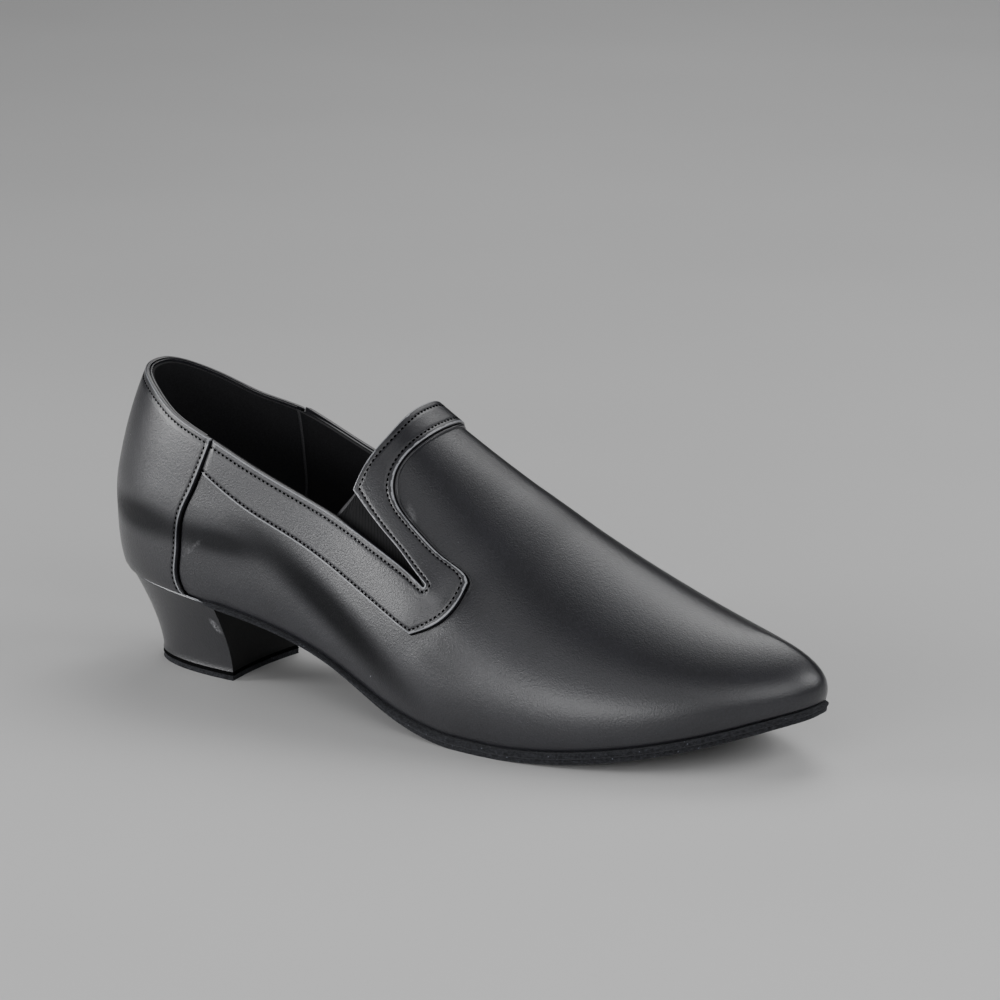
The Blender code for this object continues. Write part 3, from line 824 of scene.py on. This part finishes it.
# Very dark cloth: painted shadow lines beside the folds and above the heel's lip, and the lift's
# upper layer
DARK_EDGE_AND_SHADOW = cloth("seam_edge_and_painted_shadow", (0.0008, 0.0008, 0.0010), 0.9, 1500, 0.3, 0.08)
SUEDE = nap("sole_suede", (0.010, 0.010, 0.012), (0.038, 0.038, 0.043), 900, 0.8)
SOLE_SIDE_BLACK = nap("sole_edge", (0.003, 0.003, 0.004), (0.030, 0.031, 0.036), 1100, 0.9)
LINING = cloth("lining_cloth", (0.006, 0.006, 0.007), 0.8, 1800, 0.3)
ELASTIC = ribbed("elastic_cloth", (0.002, 0.002, 0.0025), (0.012, 0.012, 0.0135))
THREAD = cloth("thread_black", (0.0004, 0.0004, 0.0004), 1.0, 5000, 0.2, 0.02)


# The leather pieces
SEAM = smooth(COUNTER_SEAM) + (SEAM_LIP, 0)
AHEAD = smooth(COUNTER_SEAM) + (SEAM_AHEAD, 0)
LINING_SEAMS = {-1: SEAM, 1: smooth(MEDIAL_LINING_SEAM)}
TIP_X = smooth(TOPLINE)[-1, 0]


def tip_u(side):
    """u of the notch's tip."""
    u, t = TOPS[side]
    return float(np.interp(TIP_X, skin(u, t, side)[:, 0], u))


def seam_u(curve, shares, side):
    """u at which the lines at shares of the topline's t cross the counter's seam."""
    return cross_u(curve, lambda u: shares * top_t(u, side), len(shares), side)


def seam_pace(u_end, shares, side):
    """Length along the skin at u_end for a unit step of the share of u_end."""
    u = np.stack([u_end, 0.98 * u_end], 1)
    points = skin(u, shares[:, None] * top_t(u, side), side)
    return np.linalg.norm(points[:, 1] - points[:, 0], axis=1) / 0.02


def wall_height():
    """Length up the lateral skin from the feather line to the topline, at the side of the heel."""
    t = np.linspace(0, 1, 60) * top_t(0.25, -1)
    return float(np.linalg.norm(np.diff(skin(0.25, t, -1), axis=0), axis=1).sum())


def under_top(u, shares, side):
    """Places at shares of the topline's t, with one row of u for each share."""
    return places(np.stack([u, shares[:, None] * top_t(u, side)], -1), side)


def seam_strip(curve, before, after, shares, columns, side):
    """Places of a narrow strip along a seam, from before it to after it."""
    first = seam_u(curve - (before, 0), shares, side)[:, None]
    last = seam_u(curve + (after, 0), shares, side)[:, None]
    return under_top(first + (last - first) * np.linspace(0, 1, columns), shares, side)


def heel_patch(curve, side, low, rows=36, columns=44):
    """The area behind a seam curve: places and their distances from the seam and the topline."""
    tall = wall_height()
    top = 1 - EDGE_ROWS[::-1] / tall
    shares = np.concatenate([np.linspace(low, top[0], rows)[:-1], top])
    u_end = seam_u(curve, shares, side)
    wide = seam_pace(u_end, shares, side)
    near = 1 - EDGE_ROWS[None, ::-1] / wide[:, None]
    rest = np.linspace(0, 1, columns)[None, :-1] * near[:, :1]
    across = np.concatenate([rest, near], 1)
    from_seam = (1 - across) * wide[:, None]
    from_top = np.broadcast_to(((1 - shares) * tall)[:, None], across.shape)
    return under_top(across * u_end[:, None], shares, side), from_seam, from_top


def counter():
    """Outside counter with its folded edges."""
    patches = []
    for side in (-1, 1):
        place, seam, top = heel_patch(SEAM, side, 0.0)
        height = pair_height(seam, STITCH_IN, top, TOP_INSET, GAP, GAP + OVERLAY_WALL)
        tuck = 1 - rounded(place[..., 1] * HEEL_WALL, 0.0016)
        # Painted highlight on the tops of the folds at the seam and at the topline
        fold_highlight = np.maximum(crown_highlight(seam, STITCH_IN), crown_highlight(top, TOP_INSET))
        patches.append((place, height - TUCK_DEPTH * tuck, GAP / 2, fold_highlight))
    piece = slab("counter_leather", patches, BLACK, PAINTED_FOLD_HIGHLIGHT)
    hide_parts("heel_counter")


def notch_arc(count):
    """The notch's round tip in the side view."""
    start = smooth(TOPLINE)[-1]
    end = smooth(NOTCH)[0]
    middle = (start + end) / 2
    half = (end - start) / 2
    front = np.array([half[1], -half[0]])
    angles = np.linspace(0, math.pi, count)[:, None]
    return middle - half * np.cos(angles) + front * np.sin(angles)


def band_lines(side):
    """The band's outer and inner edges as matching (u, t), from the seam up to the ridge."""
    seam = AHEAD[np.argsort(AHEAD[:, 1])]
    quarter = []
    for outline in (TOPLINE, BAND_LOWER):
        line = smooth(outline)
        line = line[line[:, 0] > np.interp(line[:, 1], seam[:, 1], seam[:, 0])]
        quarter.append(spaced(line, TOPLINE_LINES))
    upper = smooth(BAND_UPPER)
    turned = stretch(upper, BAND_UPPER[0], BAND_TURN)
    tip = notch_arc(TIP_LINES + 2)[1:-1]
    front = spaced(smooth(BAND_FRONT), TIP_LINES + 2)[1:-1]
    outer = locate(np.concatenate([quarter[0], tip, spaced(smooth(NOTCH), NOTCH_LINES)]), side)
    inner = locate(np.concatenate([quarter[1], front, spaced(turned, NOTCH_LINES)]), side)
    climb = np.linspace(0, 1, INSTEP_LINES + 1)[1:]
    lines = []
    for edge, curve in ((outer, smooth(THROAT)), (inner, upper)):
        t = edge[-1, 1] + (1 - edge[-1, 1]) * climb
        u = cross_u(curve, lambda _: t, len(t), side)
        lines.append(np.concatenate([edge, np.column_stack([u, t])]))
    return lines


def across_both(lines):
    """Edge lines of both sides as one run from the lateral seam over the ridge to the medial."""
    return [np.concatenate([places(lines[-1][k], -1), places(lines[1][k], 1)[-2::-1]])
            for k in (0, 1)]


BAND_LINES = {side: band_lines(side) for side in (-1, 1)}
BAND_EDGES = across_both(BAND_LINES)


def between(edges, shares):
    """Places at shares of the way from the first edge to the second."""
    first, second = (edge[:, None, :] for edge in edges)
    place = first + (second - first) * shares[..., None]
    place[..., 2] = first[..., 2]
    return place


def band_width():
    """The band's width along each of its cross lines."""
    place = between(BAND_EDGES, np.broadcast_to(np.linspace(0, 1, 12), (len(BAND_EDGES[0]), 12)))
    return np.linalg.norm(np.diff(skin_at(place), axis=1), axis=2).sum(1)


def from_ends(count):
    """Each line's number of steps from the nearer end."""
    steps = np.arange(count)
    return np.minimum(steps, steps[::-1])


def top_inset():
    """Stitch row's distance from the band's outer edge, along its cross lines."""
    lines = (0, 55, 80, 120, 150)
    insets = (TOP_INSET, 0.0025, 0.0018, 0.0020, TOP_INSET)
    return np.interp(from_ends(len(BAND_EDGES[0])), lines, insets)


def low_inset():
    """Stitch row's distance from the band's inner edge, wider once the band leaves the topline."""
    share = np.clip((from_ends(len(BAND_EDGES[0])) - 70) / 12, 0, 1)
    return LOW_INSET + (NOTCH_INSET - LOW_INSET) * share


def band():
    """The band round the opening, with both edges folded."""
    width = band_width()
    shares = edge_shares(width, 8)
    place = between(BAND_EDGES, shares)
    a = shares * width[:, None]
    b = (1 - shares) * width[:, None]
    first = top_inset()[:, None]
    last = low_inset()[:, None]
    ends = LINE_STEP * from_ends(len(a))[:, None]
    height = np.minimum(pair_height(a, first, b, last, GAP, GAP + OVERLAY_WALL),
                        GAP + OVERLAY_WALL * rounded(ends, TURN_RADIUS) + 0.0002)
    # Painted highlight on the tops of both folded edges
    fold_highlight = np.maximum(crown_highlight(a, first), crown_highlight(b, last))
    piece = slab("band_leather", [(place, height, GAP / 2, fold_highlight)], BLACK, PAINTED_FOLD_HIGHLIGHT)
    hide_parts("topline_band")


def vamp_patches(trim, seamed):
    """Quarters from the seam or the back forward, the tongue of the vamp and the vamp itself."""
    patches = []
    for side in (-1, 1):
        tip = tip_u(side)
        rows = np.concatenate([np.linspace(0, 0.9, 34), np.linspace(0.9, 1, 9)[1:]])
        shares = rows * (1 - trim)
        if seamed:
            start = seam_u(AHEAD, shares, side)[:, None]
            near = EDGE_ROWS[:-3] / QUARTER_LENGTH
            steps = np.concatenate([near, np.linspace(0, 1, 64)[2:]])
        else:
            start = np.zeros((len(shares), 1))
            steps = np.linspace(0, 1, 120)
        quarter = under_top(start + (tip - start) * steps, shares, side)
        patches.append((quarter, np.broadcast_to(steps * QUARTER_LENGTH, quarter.shape[:-1])))
        front_t = quarter[:, -1, 1]
        edge = spaced(BAND_LINES[side][0][-INSTEP_LINES - NOTCH_LINES:], TONGUE_ROWS)
        edge[0] = tip, front_t[-1]
        right_t = front_t[-1] + (1 - front_t[-1]) * np.linspace(0, 1, TONGUE_ROWS)
        right = np.column_stack([np.full(TONGUE_ROWS, tip), right_t])
        blend = np.linspace(0, 1, 30)[None, :, None]
        tongue = edge[:, None] + (right - edge)[:, None] * blend
        patches.append((places(tongue, side), None))
        u = tip + (1 - tip) * np.linspace(0, 1, 90)
        t = np.concatenate([front_t, right_t[1:]])
        grid_t, grid_u = np.meshgrid(t, u, indexing="ij")
        patches.append((places(np.stack([grid_u, grid_t], -1), side), None))
    return patches


def upper():
    """Vamp and quarters, rounded in at the feather line and at the counter's seam."""
    patches = []
    for place, back in vamp_patches(0.008, True):
        t = place[..., 1]
        height = -TUCK_DEPTH * np.clip(1 - t / 0.012, 0, 1) ** 2
        if back is not None:
            height = height - SEAM_DROP * (1 - rounded(back, TURN_RADIUS))
        patches.append((place, height, -LINING_TOP + GAP / 2))
    piece = slab("upper_leather", patches, BLACK)
    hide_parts("upper")


def quarter_facing():
    """The upper's leather under the counter, whose edge shows inside the collar."""
    patches = []
    for side in (-1, 1):
        place, _, top = heel_patch(AHEAD - (FACING_BACK, 0), side, 0.3, 16, 34)
        height = -0.0001 - 0.0008 * (1 - rounded(top, FOLD_RADIUS))
        patches.append((place, height, -LINING_TOP + GAP / 2))
    piece = slab("quarter_facing", patches, BLACK)


def lining():
    """The lining on the upper's inside, with a seam on each side."""
    patches = []
    for place, _ in vamp_patches(0.012, False):
        seen = skin_at(place)
        climbing = LINING_SEAMS[int(place[0, 0, 2])][::-1]
        seam_x = np.interp(seen[..., 2], climbing[:, 1], climbing[:, 0])
        ahead = seen[..., 0] - seam_x - GROOVE_AHEAD
        groove = GROOVE_DEPTH * np.exp(-(ahead / GROOVE_WIDTH) ** 2)
        step = LINING_STEP / (1 + np.exp(-ahead / STEP_WIDTH))
        patches.append((place, -LINING_TOP - GAP / 4, -UPPER_WALL + groove - step))
    piece = slab("lining_shell", patches, LINING)


def lining_seam():
    """A narrow strip that covers the lining's seam on both sides."""
    patches = []
    for side in (-1, 1):
        shares = np.linspace(0.05, 0.985, 60)
        place = seam_strip(LINING_SEAMS[side], STRIP_HALF, STRIP_HALF, shares, 7, side)
        under = -UPPER_WALL - STRIP_BULGE * np.sin(np.linspace(0.15, math.pi - 0.15, 7))
        patches.append((place, -STRIP_TOP, np.broadcast_to(under, place.shape[:-1])))
    piece = slab("lining_seam", patches, LINING_EDGE)


def gores():
    """Elastic behind the notches, with a folded free edge."""
    back = spaced(smooth(GORE_BACK), 40)
    front = spaced(smooth(GORE_FRONT), 40)
    for side, which in ((-1, "lateral"), (1, "medial")):
        first = locate(back, side)
        last = locate(front, side)
        shares = np.concatenate([EDGE_ROWS[:12] / GORE_LENGTH, np.linspace(0.13, 1, 40)])
        place = places(first[:, None] + (last - first)[:, None] * shares[None, :, None], side)
        away = np.broadcast_to(shares * GORE_LENGTH, place.shape[:-1])
        base = -UPPER_WALL - GAP - GORE_WALL
        height = base + GORE_WALL * (0.2 + 0.8 * rounded(away, FOLD_RADIUS))
        drawn = np.exp(-((away - GORE_FOLD) / GORE_FOLD_WIDTH) ** 2)
        height = height - GORE_FOLD_DEPTH * drawn
        edge, near, far = GORE_RIMS
        folded = ((away < edge) | ((away > near) & (away < far))).astype(float)
        patches = [(place, height, base, folded)]
        piece = slab("gore_elastic_" + which, patches, ELASTIC, LINING_EDGE)
        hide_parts("gore_" + which)


def beyond_band(first, low, high, columns):
    """Places along the band's inner edge, from a distance within it to one beyond it.

    The first cross lines at each end are left out.
    """
    outer, inner = BAND_EDGES
    wide = np.linalg.norm(skin_at(outer) - skin_at(inner), axis=1)
    pick = slice(first, len(inner) - first)
    reach = np.linspace(low, high, columns)[None, :] / wide[pick, None]
    place = outer[pick, None] + (inner - outer)[pick, None] * (1 + reach)[..., None]
    place[..., 2] = outer[pick, None, 2]
    return place


def band_underlay():
    """The folded layer that shows as a second ridge beyond the band's inner edge."""
    place = beyond_band(UNDERLAY_FROM, -0.001, UNDERLAY, 16)
    round_off = rounded(np.linspace(UNDERLAY + 0.001, 0, 16), 0.00045)[None, :]
    taper = np.clip(from_ends(place.shape[0]) / 14, 0.1, 1)[:, None]
    height = 0.00005 + UNDERLAY_HEIGHT * round_off * taper
    piece = slab("band_underlay", [(place, height, -0.0003)], BLACK)


def shadow_lines():
    """A fine dark line beside the folds of the band and the counter: a dark strip that paints the
    shadow in the gap under each fold, together with its dark cut edge.
    """
    place = beyond_band(0, -0.0006, SHADOW, 5)
    level = np.full(place.shape[:-1], 0.00012)
    level[UNDERLAY_FROM:-UNDERLAY_FROM] = 0.00075
    piece = slab("shadow_band", [(place, level, -0.0002)], DARK_EDGE_AND_SHADOW)
    patches = []
    for side in (-1, 1):
        place = seam_strip(SEAM, 0.001, SHADOW, np.linspace(0, 0.99, 80), 5, side)
        patches.append((place, 0.00015, -0.0006))
    piece = slab("shadow_counter", patches, DARK_EDGE_AND_SHADOW)


def all_stitches():
    """Thread along both edges of the band and along the counter's top and front."""
    width = band_width()
    over = GAP + OVERLAY_WALL - THREAD_SINK
    rows = []
    for inset in (top_inset(), width - low_inset()):
        share = np.clip(inset / width, 0, 1)[:, None]
        rows.append((between(BAND_EDGES, share)[:, 0], over))
    top = []
    for side in (-1, 1):
        share = 1 - TOP_INSET / wall_height()
        end = seam_u(SEAM - (STITCH_IN, 0), np.array([share]), side)[0]
        u = np.linspace(0, end, 70)
        t = share * top_t(u, side)
        top.append(places(np.column_stack([u, t]), side))
        shares = np.linspace(0.02, share - 0.02, 90)
        u = seam_u(SEAM, shares, side)
        u = u * (1 - STITCH_IN / seam_pace(u, shares, side))
        rows.append((places(np.column_stack([u, shares * top_t(u, side)]), side), over))
    rows.append((np.concatenate([top[0][::-1], top[1][1:]]), over))
    piece = stitches("stitches", rows, THREAD)


# Sole and heel
def outward(ring, amount):
    """A ring seen from above, moved outward by one amount or by one for each point."""
    flow = np.roll(ring, -1, 0) - np.roll(ring, 1, 0)
    normal = np.stack([flow[:, 1], -flow[:, 0]], -1)
    normal /= np.linalg.norm(normal, axis=1)[:, None]
    return ring + normal * np.reshape(amount, (-1, 1))


def sole_edge(u, proud):
    """How far the outsole's edge lies outside the feather line, inside it at the seat."""
    station = (1 - np.cos(math.pi * u)) / 2
    share = np.clip((station - SOLE_FLARE[0]) / (SOLE_FLARE[1] - SOLE_FLARE[0]), 0, 1)
    flare = share * share * (3 - 2 * share)
    return flare * (SOLE_EDGE * proud + SOLE_POCKET) - SOLE_POCKET


def sole_ring(share, proud):
    """A ring round the outsole at a share of its thickness."""
    u = np.linspace(0, 1, SOLE_STEPS + 1)
    feather = np.concatenate([skin(u, 0, -1), skin(u, 0, 1)[-2:0:-1]])
    offset = sole_edge(u, proud)
    xy = outward(feather[:, :2], np.concatenate([offset, offset[-2:0:-1]]))
    u = turn((xy[:, 0] + SEAT_BACK) / LAST_LENGTH)
    thickness = SOLE_THICKNESS * np.clip(column("sole", u), 0, 1)
    depth = GAP + np.minimum(thickness, feather_height(u) - GAP) * (1 - share)
    return np.column_stack([xy, feather_height(u) - depth])


def heel_ring(level, proud=0.0):
    """A ring round the heel: level is 0 at its foot and 1 under the upper."""
    breast_u = turn((BREAST_TOP + SEAT_BACK) / LAST_LENGTH)
    u = np.linspace(0, breast_u, HEEL_STEPS)
    lateral = skin(u, 0, -1)[::-1, :2]
    medial = skin(u, 0, 1)[1:, :2]
    middle_y = (lateral[0, 1] + medial[-1, 1]) / 2
    half = (medial[-1, 1] - lateral[0, 1]) / 2
    across = np.linspace(medial[-1, 1], lateral[0, 1], BREAST_STEPS)[1:-1]
    bowed = BREAST_HOLLOW * (1 - ((across - middle_y) / half) ** 2)
    ring = np.concatenate([lateral, medial, np.column_stack([BREAST_TOP - bowed, across])])
    length = BREAST_TOP + SEAT_BACK
    foot_x = (ring[:, 0] - (BREAST_TOP - SEAT_BACK) / 2) * HEEL_FOOT_LENGTH / length
    foot_y = (ring[:, 1] - middle_y) * HEEL_FOOT_WIDTH / (2 * half)
    blend = level ** HEEL_CURVE
    x = foot_x + (ring[:, 0] - foot_x) * blend
    y = foot_y + (ring[:, 1] - foot_y) * blend
    low = LIFT_THICKNESS + GAP
    z = low + (height_at(x) - GAP - low) * level
    return np.column_stack([outward(np.column_stack([x, y]), proud), z])


def fan_loft(name, rings, material):
    """A closed body through rings, bottom to top, with fans at both ends."""
    count = len(rings[0])
    points = np.concatenate(rings + [[rings[0].mean(0)], [rings[-1].mean(0)]])
    faces = ring_walls(len(rings), count)
    last = (len(rings) - 1) * count
    for k in range(count):
        n = (k + 1) % count
        faces.append([n, k, len(rings) * count])
        faces.append([last + k, last + n, len(rings) * count + 1])
    return mesh_object(name, points, faces, material)


def strip_loft(name, rings, material):
    """A closed body through symmetric rings, whose ends are strips from side to side."""
    count = len(rings[0])
    faces = ring_walls(len(rings), count)
    top = (len(rings) - 1) * count
    for k in range(count // 2):
        face = [k, k + 1, (count - k - 1) % count, (count - k) % count]
        face = list(dict.fromkeys(face))
        faces.append(face[::-1])
        faces.append([i + top for i in face])
    return mesh_object(name, np.concatenate(rings), faces, material)


# The sole's edge, bottom to top: share of its thickness, and how proud as a share of SOLE_EDGE
SOLE_PROFILE = ((0.0, 0.10), (0.03, 0.32), (0.12, 0.46), (0.26, 0.52), (0.40, 0.50), (0.45, 0.42),
                (0.49, 0.60), (0.54, 0.92), (0.62, 1.06), (0.72, 1.10), (0.80, 1.02), (0.87, 0.80),
                (0.93, 0.45), (1.0, 0.10))

# The heel's levels, closer together round the folded lip, and the lip's middle and spread
HEEL_LEVELS = (*np.linspace(0, 0.945, 26), 0.957, 0.967, 0.975, 0.983, 0.991, 1.0)
LIP_LEVEL = 0.983
LIP_SPREAD = 0.012
# Levels between which the lip takes a painted highlight, and from which a painted shadow line runs
# up to the top
LIP_PAINT_LEVELS = (0.965, 0.991)
FOOT_DRAW = 0.0003                  # how far the cover turns in at the foot
FOOT_LEVEL = 0.02

# Normals of faces that belong to the breast, forward, and to the sole's underside, upward
BREAST_FORWARD = 0.75
UNDERSIDE_UPWARD = -0.7

# The lift's edge, bottom to top, in metres: height, and how proud
LIFT_PROFILE = ((0.0, -0.0002), (0.0002, 0.0), (0.00175, 0.0), (0.0019, -0.0003),
                (0.0021, -0.0003), (0.00225, 0.0001), (0.0029, 0.0001), (0.0030, -0.0001))
LIFT_JOINT = 0.0018


def second_material(piece, material, chosen):
    """Gives the faces for which chosen(face) is true a second material."""
    piece.data.materials.append(material)
    for face in piece.data.polygons:
        if chosen(face):
            face.material_index = 1


def outsole():
    """Outsole with a smooth lower edge, a groove and a rough bead above it."""
    rings = [sole_ring(share, proud) for share, proud in SOLE_PROFILE]
    piece = strip_loft("outsole_leather", rings, SOLE_SIDE_BLACK)
    second_material(piece, SUEDE, lambda face: face.normal.z < UNDERSIDE_UPWARD)
    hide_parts("outsole")


def heel():
    """Covered heel: a folded top edge with a painted highlight on its lip and a painted shadow line
    above it, drawn-in sides and a hollow breast darkened as painted shade.
    """
    rings = []
    for level in HEEL_LEVELS:
        lip = HEEL_LIP * math.exp(-((level - LIP_LEVEL) / LIP_SPREAD) ** 2)
        foot = -FOOT_DRAW * max(0, 1 - level / FOOT_LEVEL)
        rings.append(heel_ring(level, lip + foot))
    piece = fan_loft("heel_cover", rings, HEEL_BLACK)
    # Second to fourth materials: painted shade on the breast, painted highlight on the lip, painted
    # shadow line above it
    for material in (BREAST_SHADE_BLACK, PAINTED_FOLD_HIGHLIGHT, DARK_EDGE_AND_SHADOW):
        piece.data.materials.append(material)
    count = len(rings[0])
    painted_levels = np.searchsorted(HEEL_LEVELS, LIP_PAINT_LEVELS)
    for number, face in enumerate(piece.data.polygons):
        level = number // count
        if face.normal.x > BREAST_FORWARD:
            face.material_index = 1
        elif painted_levels[0] <= level < painted_levels[1]:
            face.material_index = 2
        elif painted_levels[1] <= level < len(HEEL_LEVELS) - 1:
            face.material_index = 3
    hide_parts("heel")


def lift():
    """Top piece of two layers, the lower one a little proud."""
    foot = heel_ring(0)[:, :2]
    rings = [np.column_stack([outward(foot, proud), np.full(len(foot), z)])
             for z, proud in LIFT_PROFILE]
    piece = fan_loft("lift_layers", rings, SOLE_SIDE_BLACK)
    second_material(piece, DARK_EDGE_AND_SHADOW, lambda face: face.center.z > LIFT_JOINT)
    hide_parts("heel_lift")


def insole():
    """The insole keeps its solid's form and takes the lining's material."""
    shape = bpy.data.objects["insole"]
    shape.data.materials.clear()
    shape.data.materials.append(LINING)


upper()
quarter_facing()
lining()
counter()
gores()
band_underlay()
shadow_lines()
lining_seam()
band()
all_stitches()
outsole()
heel()
lift()
insole()


# Light, floor and camera: each light's name, place, aim, size in metres and power in watts
MIDDLE = (0.10, 0.0, 0.05)
HEEL_END = (0.02, 0.0, 0.06)
LIGHTS = (
    ("left_front", (-1.1, -0.8, 0.34), HEEL_END, (0.6, 0.4), 11),
    ("side_low", (-0.75, -1.25, 0.16), HEEL_END, (0.6, 0.25), 2.4),
    ("back", (0.15, 0.9, 1.2), MIDDLE, (0.6, 0.9), 2.3),
    ("top", (0.1, 0.3, 1.4), MIDDLE, (0.6, 0.6), 1.2),
    ("right", (1.3, -0.6, 0.8), (0.15, 0.0, 0.05), (0.9, 0.9), 7.0),
    ("toe", (1.10, 0.45, 0.75), (0.2, 0.0, 0.03), (0.7, 0.6), 6.0),
    ("front", (0.3, -1.3, 1.4), MIDDLE, (1.2, 0.9), 4.1),
    ("low", (0.2, -1.3, 0.32), MIDDLE, (1.0, 0.5), 8.5),
    ("floor_wash", (-0.5, 1.6, 1.8), (0.0, 1.6, 0.0), (1.5, 1.5), 17),
)
FLOOR_REACH = 20.0
AZIMUTH = 32.5
ELEVATION = 15.0
CAMERA_TARGET = (0.122, 0.0, 0.077)
CAMERA_DISTANCE = 1.6
SENSOR_WIDTH = 36.0
LENS_PER_SENSOR = 4.6128


def area_light(name, place, aim, size, power):
    """A soft rectangular light."""
    data = bpy.data.lights.new(name, "AREA")
    data.shape = "RECTANGLE"
    data.size, data.size_y = size
    data.energy = power
    lamp = bpy.data.objects.new(name, data)
    lamp.location = place
    lamp.rotation_euler = (Vector(aim) - Vector(place)).to_track_quat("-Z", "Y").to_euler()
    bpy.context.collection.objects.link(lamp)


def studio():
    """Pale floor, faint sky and soft lights."""
    floor_material, tree, shader = surface("floor_pale", Roughness=0.6)
    faint = ramp(tree, noise(tree, 3, 2), 0.3, 0.7, 0, 1)
    link(tree, blend_colour(tree, faint, (0.60, 0.60, 0.60), (0.64, 0.64, 0.64)),
         shader.inputs["Base Color"])
    mesh = bpy.data.meshes.new("floor")
    far = FLOOR_REACH
    corners = [(-far, -far, 0), (far, -far, 0), (far, far, 0), (-far, far, 0)]
    mesh.from_pydata(corners, [], [(0, 1, 2, 3)])
    mesh.materials.append(floor_material)
    floor = bpy.data.objects.new("floor", mesh)
    bpy.context.collection.objects.link(floor)
    world = bpy.data.worlds.new("studio")
    bpy.context.scene.world = world
    world.use_nodes = True
    sky = world.node_tree.nodes["Background"]
    sky.inputs["Color"].default_value = (0.80, 0.85, 0.95, 1)
    sky.inputs["Strength"].default_value = 0.01
    for light in LIGHTS:
        area_light(*light)


def camera():
    """The photo's view, worked out from the shoe's outline."""
    azimuth = math.radians(AZIMUTH)
    elevation = math.radians(ELEVATION)
    away = Vector((math.sin(azimuth) * math.cos(elevation),
                   -math.cos(azimuth) * math.cos(elevation), math.sin(elevation)))
    data = bpy.data.cameras.new("camera")
    data.sensor_width = SENSOR_WIDTH
    data.lens = SENSOR_WIDTH * LENS_PER_SENSOR
    data.clip_start = 0.05
    view = bpy.data.objects.new("camera", data)
    view.location = Vector(CAMERA_TARGET) + away * CAMERA_DISTANCE
    view.rotation_euler = (-away).to_track_quat("-Z", "Y").to_euler()
    bpy.context.collection.objects.link(view)
    bpy.context.scene.camera = view


studio()
camera()
